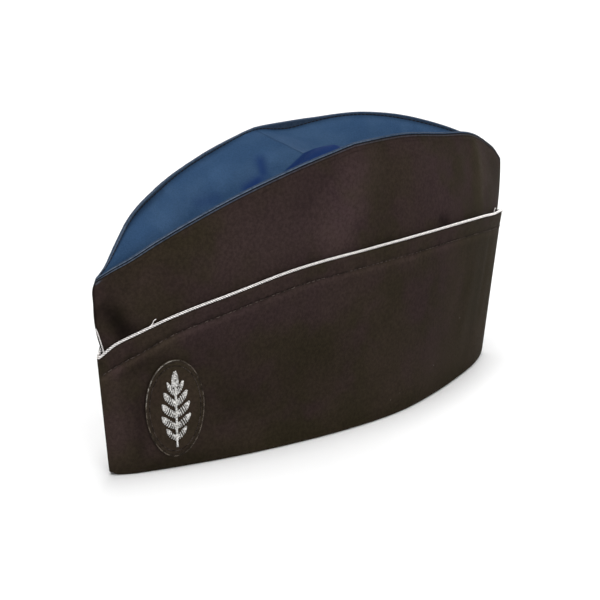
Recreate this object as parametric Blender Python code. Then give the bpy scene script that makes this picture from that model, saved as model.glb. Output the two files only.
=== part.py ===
import math
from collections import namedtuple

import bmesh
import bpy
import numpy as np

# Sizes in metres. The front points to -X, the wearer's left to -Y, and the hem stands on Z = 0.
HEM_LENGTH = 0.276              # corner to corner of the turned-up hem
HEM_WIDTH = 0.0762              # across the opened hem
HEM_SHIFT = -0.0037             # middle of the hem, from the middle of the whole cap

TURN_UP_LENGTH = 0.2965         # corner to corner along the upper edge
TURN_UP_SHIFT = 0.00053
TURN_UP_WIDTH = 0.082
TURN_UP_HEIGHT = 0.0902         # highest point of the upper edge
TURN_UP_CLOTH = 0.002           # two layers pressed together
FOLD_THICKNESS = 0.0016         # cloth folded under the crown at the hem

CROWN_HEIGHT = 0.1435
CROWN_CLOTH = 0.0016
CROWN_STAND_OFF = 0.0009        # from the turn-up's upper edge
RIDGE_LENGTH = 0.2928           # front seam to back seam along the top of the sides
RIDGE_WIDTH = 0.0682            # between the two ridges at the crest
RIDGE_SHIFT = -0.0001
FRONT_BULGE = 0.0038            # forward swell of the front seam above the turn-up
BACK_BULGE = 0.0010
SIDE_BULGE = 0.0012
DENT_DEPTH = 0.0016
DENT_SEAM_FADE = 0.05           # stretch before the end seams where the dents run out
DENT_LOW_FADE = 0.2             # stretch behind the turn-up where they run out

TOP_CLOTH = 0.0012
TOP_DROP = 0.0026               # from the ridge down to the sewn edge of the top panel
TOP_REACH = 0.92                # share of the ridge that the top panel fills
TOP_FOLD_HEIGHT = 0.0028
CREST = -0.07                   # place of the crosswise crease, as in the table of sections

CORD_DIAMETER = 0.0018
CORD_OVERLAP_STEP = 0.0022      # sideways step of the cord's last stretch
CORD_CORNER_RADIUS = 0.0013

PATCH_WIDTH = 0.0300
PATCH_HEIGHT = 0.0474
PATCH_CLOTH = 0.0011
PATCH_PLACE = -0.790            # along the turn-up's left side
PATCH_LEVEL = 0.0304            # its middle above the hem
EMBLEM_WIDTH = 0.0142
EMBLEM_HEIGHT = 0.0378
EMBLEM_RELIEF = 0.0010

GAP = 0.0003                    # between pieces that touch
FRONT_COLUMNS = 20              # facets along each side before the crest
BACK_COLUMNS = 23
CORD_START = -0.87              # places on the right side, as in the table of sections
CORD_STEPS_OUT = -0.79

LEFT = -1
RIGHT = 1

# Cross sections from the front seam to the back seam. Place runs from -1 to 1 along each line.
# Widths are shares of the hem's, the upper edge's and the ridge's own widths, and heights are
# shares of the turn-up's and the crown's.
Section = namedtuple(
    "Section",
    "place hem edge edge_height left_ridge right_ridge left_height right_height keel",
)
SECTIONS = (
    Section(-1.00, 0.00, 0.00, 0.645, 0.00, 0.00, 0.670, 0.670, 0.66),
    Section(-0.95, 0.15, 0.13, 0.705, 0.05, 0.07, 0.692, 0.696, 0.67),
    Section(-0.88, 0.27, 0.28, 0.760, 0.13, 0.21, 0.720, 0.745, 0.67),
    Section(-0.80, 0.38, 0.41, 0.812, 0.23, 0.37, 0.760, 0.797, 0.68),
    Section(-0.60, 0.62, 0.67, 0.897, 0.57, 0.68, 0.859, 0.871, 0.71),
    Section(-0.35, 0.83, 0.88, 0.975, 0.83, 0.85, 0.940, 0.942, 0.79),
    Section(-0.07, 0.97, 0.99, 1.000, 1.00, 1.00, 1.000, 0.991, 0.93),
    Section(0.20, 0.97, 0.98, 1.000, 0.90, 0.93, 0.989, 0.988, 0.85),
    Section(0.45, 0.79, 0.86, 0.987, 0.74, 0.80, 0.950, 0.978, 0.79),
    Section(0.68, 0.54, 0.63, 0.950, 0.50, 0.57, 0.908, 0.929, 0.75),
    Section(0.85, 0.31, 0.36, 0.905, 0.22, 0.26, 0.842, 0.860, 0.73),
    Section(0.94, 0.14, 0.17, 0.880, 0.09, 0.10, 0.794, 0.808, 0.73),
    Section(1.00, 0.00, 0.00, 0.860, 0.00, 0.00, 0.747, 0.747, 0.73),
)

# Soft dents in the crown's sides. Rise is 1 at the turn-up's edge and 2 at the ridge. Length and
# height are in the same measures as place and rise, and depth is a share of the deepest dent.
Dent = namedtuple("Dent", "side place rise length height depth")
DENTS = (
    Dent(LEFT, -0.86, 1.15, 0.05, 0.45, 1.00),
    Dent(LEFT, 0.32, 1.60, 0.05, 0.60, 0.45),
    Dent(LEFT, 0.62, 1.50, 0.05, 0.60, 0.55),
    Dent(LEFT, 0.86, 1.40, 0.04, 0.50, 0.60),
    Dent(RIGHT, -0.45, 1.60, 0.08, 0.60, 0.60),
    Dent(RIGHT, 0.50, 1.40, 0.07, 0.60, 0.55),
)

# Swells (up) and dents (down) of the top panel. Share is 0 at the ridge and 1 at the keel, and
# height is a share of the highest swell.
TopFold = namedtuple("TopFold", "side place share length reach height")
TOP_FOLDS = (
    TopFold(LEFT, -0.10, 0.45, 0.16, 0.35, 1.00),
    TopFold(RIGHT, -0.07, 0.35, 0.10, 0.30, -0.55),
    TopFold(RIGHT, -0.20, 0.70, 0.04, 0.30, -0.80),
    TopFold(RIGHT, -0.55, 0.50, 0.20, 0.40, 0.55),
)

# Stretches where the top panel is sewn further below the ridge, as shares of its usual drop.
SeamDip = namedtuple("SeamDip", "side place length depth")
SEAM_DIPS = (
    SeamDip(RIGHT, 0.06, 0.10, 0.85),
    SeamDip(RIGHT, 0.26, 0.20, 0.40),
)

STEM_SHARE = 0.09               # half the stem's width, as a share of the emblem's half width
LEAF_BELOW = 0.02               # how far a leaf's foot reaches below and above its root
LEAF_ABOVE = 0.055

# Pairs of leaves up the emblem's stem, as shares of its height and half width.
Leaf = namedtuple("Leaf", "root tip reach")
LEAVES = (
    Leaf(0.10, 0.24, 0.70),
    Leaf(0.25, 0.41, 1.00),
    Leaf(0.40, 0.57, 0.95),
    Leaf(0.55, 0.72, 0.80),
    Leaf(0.69, 0.85, 0.55),
)


def clear_scene():
    for thing in list(bpy.data.objects):
        bpy.data.objects.remove(thing, do_unlink=True)


def linear(red, green, blue):
    def channel(value):
        share = value / 255
        return share / 12.92 if share <= 0.04045 else ((share + 0.055) / 1.055) ** 2.4

    return (channel(red), channel(green), channel(blue), 1.0)


def make_material(name, colour, roughness, metallic=0.0):
    material = bpy.data.materials.new(name)
    material.use_nodes = True
    shader = material.node_tree.nodes["Principled BSDF"]
    shader.inputs["Base Color"].default_value = colour
    shader.inputs["Roughness"].default_value = roughness
    shader.inputs["Metallic"].default_value = metallic
    return material


def add_object(name, verts, faces, material, parent, smooth_angle=40):
    mesh = bpy.data.meshes.new(name)
    mesh.from_pydata([tuple(map(float, vert)) for vert in verts], [], faces)
    work = bmesh.new()
    work.from_mesh(mesh)
    bmesh.ops.recalc_face_normals(work, faces=work.faces)
    work.to_mesh(mesh)
    work.free()
    mesh.shade_smooth()
    mesh.set_sharp_from_angle(angle=math.radians(smooth_angle))
    mesh.materials.append(material)
    thing = bpy.data.objects.new(name, mesh)
    thing.parent = parent
    bpy.context.scene.collection.objects.link(thing)
    return thing


def mix(first, second, share):
    return first + (second - first) * share


def smooth_step(share):
    share = np.clip(share, 0.0, 1.0)
    return share * share * (3 - 2 * share)


def smooth_curve(xs, ys, x):
    # A smooth line through the rows, straight towards its two ends.
    steps = np.diff(xs)
    slopes = np.diff(ys) / steps
    inner = (slopes[:-1] * steps[1:] + slopes[1:] * steps[:-1]) / (steps[1:] + steps[:-1])
    tangents = np.concatenate((slopes[:1], inner, slopes[-1:]))
    row = np.clip(np.searchsorted(xs, x, side="right") - 1, 0, len(xs) - 2)
    step = steps[row]
    t = (x - xs[row]) / step
    return (ys[row] * (1 + 2 * t) * (1 - t) ** 2 + tangents[row] * step * t * (1 - t) ** 2
            + ys[row + 1] * t * t * (3 - 2 * t) + tangents[row + 1] * step * t * t * (t - 1))


def along(column, place, creased=False):
    places = np.array([section.place for section in SECTIONS])
    values = np.array([getattr(section, column) for section in SECTIONS])
    if not creased:
        return smooth_curve(places, values, place)
    front = places <= CREST
    back = places >= CREST
    return np.where(place <= CREST,
                    smooth_curve(places[front], values[front], place),
                    smooth_curve(places[back], values[back], place))


def stations():
    # Places of the facets' edges, with one on the crest.
    front = np.linspace(-1, CREST, FRONT_COLUMNS + 1)
    back = np.linspace(CREST, 1, BACK_COLUMNS + 1)
    return np.concatenate((front, back[1:]))


def edge_height(place):
    return TURN_UP_HEIGHT * along("edge_height", place)


def turn_up_face(side, place, rise):
    # Outer face of the turn-up, from the hem (rise 0) to its upper edge (rise 1).
    x = mix(HEM_SHIFT, TURN_UP_SHIFT, rise) + mix(HEM_LENGTH, TURN_UP_LENGTH, rise) / 2 * place
    half = mix(HEM_WIDTH * along("hem", place), TURN_UP_WIDTH * along("edge", place), rise) / 2
    return np.stack((x, side * half, edge_height(place) * rise), axis=-1)


def inset(side, line, depth):
    # Moves one side's outline inwards and keeps its two ends on the plane between the sides.
    run = np.gradient(line, axis=0)
    run = run / np.hypot(run[..., 0], run[..., 1])[..., None]
    moved = line.copy()
    moved[..., 0] += side * run[..., 1] * depth
    moved[..., 1] -= side * run[..., 0] * depth
    depths = np.broadcast_to(depth, line.shape[:-1])
    moved[0] = line[0]
    moved[-1] = line[-1]
    moved[0, ..., 0] += depths[0] / np.abs(run[0, ..., 1])
    moved[-1, ..., 0] -= depths[-1] / np.abs(run[-1, ..., 1])
    return moved


def ridge_line(side, place):
    name = "left" if side == LEFT else "right"
    x = RIDGE_SHIFT + RIDGE_LENGTH / 2 * place
    half = RIDGE_WIDTH / 2 * along(name + "_ridge", place, creased=True)
    height = CROWN_HEIGHT * along(name + "_height", place, creased=True)
    return np.stack((x, side * half, height), axis=-1)


def crown_line(side, place, rise):
    # Outer face of one side at one rise: 0 on the hem, 1 at the turn-up's edge, 2 at the ridge.
    low = min(rise, 1.0)
    inwards = TURN_UP_CLOTH + mix(GAP, CROWN_STAND_OFF, low)
    lower = inset(side, turn_up_face(side, place, low), inwards)
    lower[..., 2] = mix(FOLD_THICKNESS + GAP, edge_height(place), low)
    share = max(rise - 1.0, 0.0)
    line = mix(lower, ridge_line(side, place), share)
    swell = 4 * share * (1 - share)
    line[..., 0] -= FRONT_BULGE * swell * ((1 - place) / 2) ** 4
    line[..., 0] += BACK_BULGE * swell * ((1 + place) / 2) ** 4
    line[..., 1] += side * SIDE_BULGE * swell * along("edge", place)
    free = np.clip((1 - np.abs(place)) / DENT_SEAM_FADE, 0, 1)
    free = free * np.clip(1 + (rise - 1) / DENT_LOW_FADE, 0, 1)
    for dent in DENTS:
        if dent.side == side:
            reach = ((place - dent.place) / dent.length) ** 2 + ((rise - dent.rise) / dent.height) ** 2
            line[..., 1] -= side * DENT_DEPTH * dent.depth * np.exp(-reach) * free
    line[..., 1] += side * GAP / 2
    return line


def grid_faces(columns, rows, start=0, flip=False):
    faces = []
    for i in range(columns - 1):
        for j in range(rows - 1):
            a = start + i * rows + j
            face = (a, a + rows, a + rows + 1, a + 1)
            faces.append(face[::-1] if flip else face)
    return faces


def sheet_solid(outer, inner):
    # Closes two grids of the same size into one solid wall.
    columns, rows = outer.shape[:2]
    count = columns * rows
    verts = np.concatenate((outer.reshape(-1, 3), inner.reshape(-1, 3)))
    faces = grid_faces(columns, rows) + grid_faces(columns, rows, count, flip=True)
    border = [i * rows for i in range(columns)]
    border += [(columns - 1) * rows + j for j in range(1, rows)]
    border += [i * rows + rows - 1 for i in range(columns - 2, -1, -1)]
    border += list(range(rows - 2, 0, -1))
    for a, b in zip(border, border[1:] + border[:1]):
        faces.append((b, a, a + count, b + count))
    return verts, faces


def crown_side(name, side, material, parent):
    place = stations()
    rises = (0.0, 0.35, 0.7, 1.0, 1.15, 1.3, 1.45, 1.6, 1.75, 1.9, 2.0)
    outer = [crown_line(side, place, rise) for rise in rises]
    inner = [inset(side, line, CROWN_CLOTH) for line in outer]
    verts, faces = sheet_solid(np.stack(outer, axis=1), np.stack(inner, axis=1))
    return add_object(name, verts, faces, material, parent)


def top_edge(side, place):
    # Where the top panel meets the inner face of one side, just under the ridge.
    upper = crown_line(side, place, 2.0)
    lower = crown_line(side, place, 1.8)
    drop = np.full_like(place, TOP_DROP)
    for dip in SEAM_DIPS:
        if dip.side == side:
            drop += TOP_DROP * dip.depth * np.exp(-((place - dip.place) / dip.length) ** 2)
    down = drop / (upper[..., 2] - lower[..., 2])
    return inset(side, mix(upper, lower, down[..., None]), CROWN_CLOTH + GAP)


def top_folds(side, place, share):
    rise = np.zeros_like(place)
    for fold in TOP_FOLDS:
        if fold.side == side:
            reach = ((place - fold.place) / fold.length) ** 2 + ((share - fold.share) / fold.reach) ** 2
            rise += TOP_FOLD_HEIGHT * fold.height * np.exp(-reach) * math.sin(math.pi * share)
    return rise


def crown_top(material, parent):
    # The panel folded down between the sides, shallow at the crest and deep before it.
    place = stations()
    inside = np.abs(place) <= TOP_REACH
    left = top_edge(LEFT, place)[inside]
    right = top_edge(RIGHT, place)[inside]
    keel = (left + right) / 2
    keel[:, 1] = 0.0
    keel[:, 2] = np.minimum(CROWN_HEIGHT * along("keel", place[inside], creased=True), keel[:, 2])
    shares = (0.0, 0.12, 0.3, 0.5, 0.75, 1.0)
    rows = []
    for side, edge in ((LEFT, left), (RIGHT, right)):
        for share in shares:
            row = mix(edge, keel, share)
            row[:, 2] += top_folds(side, place[inside], share)
            rows.append(row)
    upper = np.stack(rows[:len(shares)] + rows[:len(shares) - 1:-1][1:], axis=1)
    across = np.gradient(upper, axis=1)
    run = np.gradient(upper, axis=0)
    normal = np.cross(run, across)
    upright = np.abs(normal[..., 2]) / np.linalg.norm(normal, axis=-1)
    lower = upper.copy()
    lower[..., 2] -= TOP_CLOTH / np.clip(upright, 0.4, 1.0)
    verts, faces = sheet_solid(upper, lower)
    return add_object("crown_top", verts, faces, material, parent)


def ring_solid(loops):
    # Joins closed loops of equal length round and round into one solid ring.
    count = len(loops[0])
    verts = np.concatenate(loops)
    faces = []
    for k in range(len(loops)):
        after = (k + 1) % len(loops)
        for i in range(count):
            step = (i + 1) % count
            faces.append((k * count + i, k * count + step, after * count + step, after * count + i))
    return verts, faces


def turn_up(material, parent):
    place = stations()
    under = TURN_UP_CLOTH + GAP + CROWN_CLOTH

    def loop(rise, depth, height=None):
        halves = []
        for side in (LEFT, RIGHT):
            line = inset(side, turn_up_face(side, place, rise), depth)
            if height is not None:
                line[:, 2] = height
            halves.append(line)
        left, right = halves
        return np.concatenate((left, right[-2:0:-1]))

    ease = TURN_UP_CLOTH / 4
    fold_rise = FOLD_THICKNESS / TURN_UP_HEIGHT
    loops = [
        loop(0.0, ease),
        loop(fold_rise / 2, 0.0),
        loop(0.33, 0.0),
        loop(0.66, 0.0),
        loop(0.992, 0.0),
        loop(1.0, ease),
        loop(1.0, TURN_UP_CLOTH - ease),
        loop(0.992, TURN_UP_CLOTH),
        loop(0.5, TURN_UP_CLOTH),
        loop(fold_rise, TURN_UP_CLOTH, FOLD_THICKNESS),
        loop(fold_rise, under, FOLD_THICKNESS),
        loop(0.0, under),
    ]
    verts, faces = ring_solid(loops)
    return add_object("turn_up", verts, faces, material, parent)


def tube_solid(path, radius, sides):
    # A round cord along a path, with flat ends.
    tangents = np.gradient(path, axis=0)
    tangents /= np.linalg.norm(tangents, axis=1)[:, None]
    up = np.array((0.0, 0.0, 1.0))
    verts = []
    for point, tangent in zip(path, tangents):
        out = np.cross(tangent, up)
        out /= np.linalg.norm(out)
        over = np.cross(out, tangent)
        for k in range(sides):
            angle = 2 * math.pi * (k + 0.5) / sides
            verts.append(point + radius * (math.cos(angle) * out + math.sin(angle) * over))
    faces = []
    for i in range(len(path) - 1):
        for k in range(sides):
            a = i * sides + k
            b = i * sides + (k + 1) % sides
            faces.append((a, b, b + sides, a + sides))
    faces.append(tuple(range(sides))[::-1])
    last = (len(path) - 1) * sides
    faces.append(tuple(range(last, last + sides)))
    return verts, faces


def cord_line(side, place):
    line = inset(side, turn_up_face(side, place, 1.0), CORD_DIAMETER / 2)
    run = np.gradient(line, axis=0)
    slant = np.linalg.norm(run, axis=1) / np.hypot(run[:, 0], run[:, 1])
    line[:, 2] += (CORD_DIAMETER / 2 + GAP) * slant
    return line


def round_corner(before, corner, after, radius):
    # Points of an arc that rounds a corner between two straight runs.
    one = (before - corner) / np.linalg.norm(before - corner)
    two = (after - corner) / np.linalg.norm(after - corner)
    half = math.acos(float(np.dot(one, two))) / 2
    centre_line = (one + two) / np.linalg.norm(one + two)
    centre = corner + centre_line * radius / math.sin(half)
    start = corner + one * radius / math.tan(half)
    end = corner + two * radius / math.tan(half)
    points = []
    for share in (0.0, 0.25, 0.5, 0.75, 1.0):
        spoke = mix(start, end, share) - centre
        points.append(centre + spoke / np.linalg.norm(spoke) * radius)
    return points


def piping(material, parent):
    # One cord round the turn-up's edge. It starts on the right of the front corner, runs round
    # the front, the left, the back and the right, and ends beside its own start.
    place = stations()
    left = cord_line(LEFT, place)
    right = cord_line(RIGHT, place)
    start = int(np.searchsorted(place, CORD_START))
    front = round_corner(right[1], (left[0] + right[0]) / 2, left[1], CORD_CORNER_RADIUS)
    back = round_corner(left[-2], (left[-1] + right[-1]) / 2, right[-2], CORD_CORNER_RADIUS)
    path = list(right[start:0:-1]) + front + list(left[1:-1]) + back
    beside = smooth_step((CORD_STEPS_OUT - place) / (CORD_STEPS_OUT - CORD_START))
    homeward = mix(right, inset(RIGHT, right, -CORD_OVERLAP_STEP), beside[:, None])
    path += list(homeward[-2:0:-1])
    verts, faces = tube_solid(np.array(path), CORD_DIAMETER / 2, 8)
    return add_object("piping", verts, faces, material, parent)


def badge_points(across, up, lift):
    # Points on the turn-up's left side: across and up from the patch's middle, lifted off it.
    places = np.linspace(-1, 0, 201)
    level = PATCH_LEVEL / edge_height(PATCH_PLACE)
    line = turn_up_face(LEFT, places, level)
    travel = np.concatenate(((0.0,), np.cumsum(np.linalg.norm(np.diff(line, axis=0), axis=1))))
    middle = np.interp(PATCH_PLACE, places, travel)
    place = np.interp(middle + across, travel, places)
    rise = (PATCH_LEVEL + up) / edge_height(place)
    point = turn_up_face(LEFT, place, rise)
    run = turn_up_face(LEFT, place + 0.01, rise) - turn_up_face(LEFT, place - 0.01, rise)
    climb = turn_up_face(LEFT, place, rise + 0.01) - turn_up_face(LEFT, place, rise - 0.01)
    normal = np.cross(run, climb)
    normal /= np.linalg.norm(normal, axis=-1)[..., None]
    return point + normal * np.asarray(lift)[..., None]


def badge_patch(material, parent):
    count = 36
    angle = np.linspace(0, 2 * math.pi, count, endpoint=False)
    base = GAP
    top = GAP + PATCH_CLOTH
    rings = ((0.35, base), (0.7, base), (0.985, base), (1.0, mix(base, top, 0.5)),
             (0.97, top), (0.7, top), (0.35, top))
    loops = []
    for share, lift in rings:
        across = PATCH_WIDTH / 2 * share * np.sin(angle)
        up = PATCH_HEIGHT / 2 * share * np.cos(angle)
        loops.append(badge_points(across, up, np.full(count, lift)))
    verts = np.concatenate(loops)
    faces = []
    for k in range(len(loops) - 1):
        for i in range(count):
            step = (i + 1) % count
            faces.append((k * count + i, k * count + step,
                          (k + 1) * count + step, (k + 1) * count + i))
    centres = badge_points(np.zeros(2), np.zeros(2), np.array((base, top)))
    verts = np.concatenate((verts, centres))
    last = (len(loops) - 1) * count
    for i in range(count):
        step = (i + 1) % count
        faces.append((step, i, len(verts) - 2))
        faces.append((last + i, last + step, len(verts) - 1))
    return add_object("badge_patch", verts, faces, material, parent)


def emblem_pattern():
    # Points and faces of a leafy stem, flat, as shares of its half width and height. Each pair of
    # leaves grows between two levels of the stem.
    points = []
    faces = []

    def pair(across, up):
        # A point on the right and, next in the list, its partner on the left.
        points.extend(((across, up), (-across, up)))
        return len(points) - 2

    level = pair(STEM_SHARE, 0.0)
    for leaf in LEAVES:
        climb = leaf.tip - leaf.root
        under = (
            pair(STEM_SHARE, leaf.root - LEAF_BELOW),
            pair(mix(STEM_SHARE, leaf.reach, 0.45), leaf.root + climb * 0.10),
            pair(mix(STEM_SHARE, leaf.reach, 0.85), leaf.root + climb * 0.45),
            pair(leaf.reach, leaf.tip),
        )
        over = (
            pair(STEM_SHARE, leaf.root + LEAF_ABOVE),
            pair(mix(STEM_SHARE, leaf.reach, 0.15), leaf.root + climb * 0.45),
            pair(mix(STEM_SHARE, leaf.reach, 0.55), leaf.root + climb * 0.80),
        )
        right = [(under[k], under[k + 1], over[k + 1], over[k]) for k in range(2)]
        right.append((under[2], under[3], over[2]))
        faces += right
        faces += [tuple(corner + 1 for corner in face[::-1]) for face in right]
        faces.append((level + 1, level, under[0], under[0] + 1))
        faces.append((under[0] + 1, under[0], over[0], over[0] + 1))
        level = over[0]
    for across, up in ((STEM_SHARE, 0.80), (0.20, 0.86), (0.17, 0.94)):
        above = pair(across, up)
        faces.append((level + 1, level, above, above + 1))
        level = above
    points.append((0.0, 1.0))
    faces.append((level + 1, level, len(points) - 1))
    return np.array(points), faces


def badge_emblem(material, parent):
    points, pattern = emblem_pattern()
    across = points[:, 0] * EMBLEM_WIDTH / 2
    up = (points[:, 1] - 0.5) * EMBLEM_HEIGHT
    base = GAP + PATCH_CLOTH + GAP
    count = len(points)
    lower = badge_points(across, up, np.full(count, base))
    upper = badge_points(across, up, np.full(count, base + EMBLEM_RELIEF))
    faces = []
    edges = {}
    for face in pattern:
        faces.append(face[::-1])
        faces.append(tuple(corner + count for corner in face))
        for a, b in zip(face, face[1:] + face[:1]):
            edges[a, b] = (a, b, b + count, a + count)
    faces += [wall for (a, b), wall in edges.items() if (b, a) not in edges]
    verts = np.concatenate((lower, upper))
    return add_object("badge_emblem", verts, faces, material, parent, smooth_angle=30)


def build():
    clear_scene()
    dark_cloth = make_material("dark_cloth", linear(52, 43, 39), 0.75)
    blue_cloth = make_material("blue_cloth", linear(54, 80, 111), 0.70)
    silver_cord = make_material("silver_cord", linear(214, 212, 214), 0.45, 0.35)
    patch_cloth = make_material("patch_cloth", linear(48, 41, 34), 0.85)
    silver_thread = make_material("silver_thread", linear(190, 188, 188), 0.40, 0.45)
    parent = bpy.data.objects.new("side_cap", None)
    bpy.context.scene.collection.objects.link(parent)
    crown_side("crown_side_left", LEFT, dark_cloth, parent)
    crown_side("crown_side_right", RIGHT, dark_cloth, parent)
    crown_top(blue_cloth, parent)
    turn_up(dark_cloth, parent)
    piping(silver_cord, parent)
    badge_patch(patch_cloth, parent)
    badge_emblem(silver_thread, parent)


build()
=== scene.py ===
import math
import bpy
import numpy as np
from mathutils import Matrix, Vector


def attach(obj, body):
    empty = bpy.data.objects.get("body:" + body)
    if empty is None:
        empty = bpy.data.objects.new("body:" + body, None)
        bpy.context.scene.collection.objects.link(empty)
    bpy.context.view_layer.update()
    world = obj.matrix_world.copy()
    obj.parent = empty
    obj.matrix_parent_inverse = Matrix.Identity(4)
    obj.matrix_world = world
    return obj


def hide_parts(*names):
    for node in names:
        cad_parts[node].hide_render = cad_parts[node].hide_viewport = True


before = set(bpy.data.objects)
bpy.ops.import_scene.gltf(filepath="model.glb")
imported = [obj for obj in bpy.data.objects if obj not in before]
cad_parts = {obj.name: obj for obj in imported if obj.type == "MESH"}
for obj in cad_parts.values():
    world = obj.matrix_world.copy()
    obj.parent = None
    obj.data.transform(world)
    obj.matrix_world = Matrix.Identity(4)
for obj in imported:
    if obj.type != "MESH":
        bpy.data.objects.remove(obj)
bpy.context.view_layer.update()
print("frame loaded:", ", ".join(sorted(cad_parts)))

# The cap's outline in metres. The front points to -X, the wearer's left to -Y, hem on Z = 0.
cap = {
    "hemLength": 0.276, "hemWidth": 0.0762, "hemShift": -0.0037,
    "edgeLength": 0.2965, "edgeShift": 0.00053, "edgeWidth": 0.082, "edgeHeight": 0.0902,
    "bandCloth": 0.002, "foldThickness": 0.0016, "gap": 0.0003, "seamLap": 0.00008,
    "crownHeight": 0.1435, "crownCloth": 0.0016, "standOff": 0.0009,
    "ridgeLength": 0.2928, "ridgeWidth": 0.0682, "ridgeShift": -0.0001,
    "frontBulge": 0.0038, "backBulge": 0.0010, "sideBulge": 0.0012, "tipBulge": 0.0012,
    "tipRise": 0.86, "tipHeight": 0.12,
    "crest": -0.07, "crestWidth": 0.12, "crestReach": (-0.06, -0.03, 0.03, 0.06),
    # Step between the meshes' columns, and the first steps from each end seam in mm.
    "columnStep": 0.0013, "endSteps": (0, 0.12, 0.28, 0.48, 0.72, 1.0, 1.35, 1.8, 2.4, 3.2),
}
left, right = -1, 1

# Cross sections from the front seam (-1) to the back seam (1), as shares of the named sizes.
sectionColumns = "place hem edge edgeHeight leftRidge rightRidge leftHeight rightHeight keel".split()
sections = np.array((
    (-1.00, 0.00, 0.00, 0.645, 0.00, 0.00, 0.670, 0.670, 0.66),
    (-0.95, 0.15, 0.13, 0.705, 0.05, 0.07, 0.692, 0.696, 0.67),
    (-0.88, 0.27, 0.28, 0.760, 0.13, 0.21, 0.720, 0.745, 0.67),
    (-0.80, 0.38, 0.41, 0.812, 0.23, 0.37, 0.760, 0.797, 0.68),
    (-0.60, 0.62, 0.67, 0.897, 0.57, 0.68, 0.859, 0.871, 0.71),
    (-0.35, 0.83, 0.88, 0.975, 0.83, 0.85, 0.940, 0.942, 0.79),
    (-0.07, 0.97, 0.99, 1.000, 1.00, 1.00, 1.000, 0.991, 0.93),
    (0.20, 0.97, 0.98, 1.000, 0.90, 0.93, 0.989, 0.988, 0.85),
    (0.45, 0.79, 0.86, 0.987, 0.74, 0.80, 0.950, 0.978, 0.79),
    (0.68, 0.54, 0.63, 0.950, 0.50, 0.57, 0.908, 0.929, 0.75),
    (0.85, 0.31, 0.36, 0.905, 0.22, 0.26, 0.842, 0.860, 0.73),
    (0.94, 0.14, 0.17, 0.880, 0.09, 0.10, 0.794, 0.808, 0.73),
    (1.00, 0.00, 0.00, 0.860, 0.00, 0.00, 0.747, 0.747, 0.73),
))


def mix(first, second, share):
    return first + (second - first) * share


def smoothStep(share):
    share = np.clip(share, 0.0, 1.0)
    return share * share * (3 - 2 * share)


def hump(distance, width):
    return np.exp(-(distance / width) ** 2)


def smoothCurve(xs, ys, x):
    # A smooth curve through given points, with slopes taken from their neighbours.
    steps = np.diff(xs)
    slopes = np.diff(ys) / steps
    inner = (slopes[:-1] * steps[1:] + slopes[1:] * steps[:-1]) / (steps[1:] + steps[:-1])
    tangents = np.concatenate((slopes[:1], inner, slopes[-1:]))
    row = np.clip(np.searchsorted(xs, x, side="right") - 1, 0, len(xs) - 2)
    step = steps[row]
    t = (x - xs[row]) / step
    return (ys[row] * (1 + 2 * t) * (1 - t) ** 2 + tangents[row] * step * t * (1 - t) ** 2
            + ys[row + 1] * t * t * (3 - 2 * t) + tangents[row + 1] * step * t * t * (t - 1))


def alongCap(column, place, creased=False):
    # One column of the sections at places along the cap, smooth or with a crease at the crest.
    places = sections[:, 0]
    values = sections[:, sectionColumns.index(column)]
    if not creased:
        return smoothCurve(places, values, place)
    front = places <= cap["crest"]
    back = places >= cap["crest"]
    return np.where(place <= cap["crest"], smoothCurve(places[front], values[front], place),
                    smoothCurve(places[back], values[back], place))


def softNoise(x, y, seed):
    # Smooth random hills between about -1 and 1, one unit wide, with a finer layer on them.
    total = np.zeros(np.broadcast(x, y).shape)
    weight = 1.0
    for layer in (0, 1):
        table = np.random.default_rng(seed * 17 + layer).uniform(-1, 1, (64, 64))
        column, row = np.floor(x).astype(int), np.floor(y).astype(int)
        across = smoothStep(x - column)
        low, high = (mix(table[column % 64, line], table[(column + 1) % 64, line], across)
                     for line in (row % 64, (row + 1) % 64))
        total = total + weight * mix(low, high, smoothStep(y - row))
        x, y, weight = x * 2.03 + 5.1, y * 2.03 + 3.7, weight * 0.45
    return total


def finePlaces():
    # Places along the cap, closer together towards its two end seams, with one on the crest.
    half, crest = cap["edgeLength"] / 2, cap["crest"]
    tips = np.array(cap["endSteps"]) / 1000 / half
    front = np.linspace(-1 + tips[-1], crest, round((crest + 1) * half / cap["columnStep"]))
    back = np.linspace(crest, 1 - tips[-1], round((1 - crest) * half / cap["columnStep"]))
    return np.concatenate((-1 + tips[:-1], front, back[1:], 1 - tips[-2::-1]))


def edgeHeight(place):
    return cap["edgeHeight"] * alongCap("edgeHeight", place)


def bandFace(side, place, rise):
    # Outer face of the turned-up band, from the hem (rise 0) to its upper edge (rise 1).
    length = mix(cap["hemLength"], cap["edgeLength"], rise)
    x = mix(cap["hemShift"], cap["edgeShift"], rise) + length / 2 * place
    hem, edge = cap["hemWidth"] * alongCap("hem", place), cap["edgeWidth"] * alongCap("edge", place)
    return np.stack((x, side * mix(hem, edge, rise) / 2, edgeHeight(place) * rise), axis=-1)


def inwardOf(side, line):
    # Level directions that point into the cap.
    run = np.gradient(line, axis=0)
    run = run / np.hypot(run[..., 0], run[..., 1])[..., None]
    return np.stack((side * run[..., 1], -side * run[..., 0], np.zeros(run.shape[:-1])), axis=-1)


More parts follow.
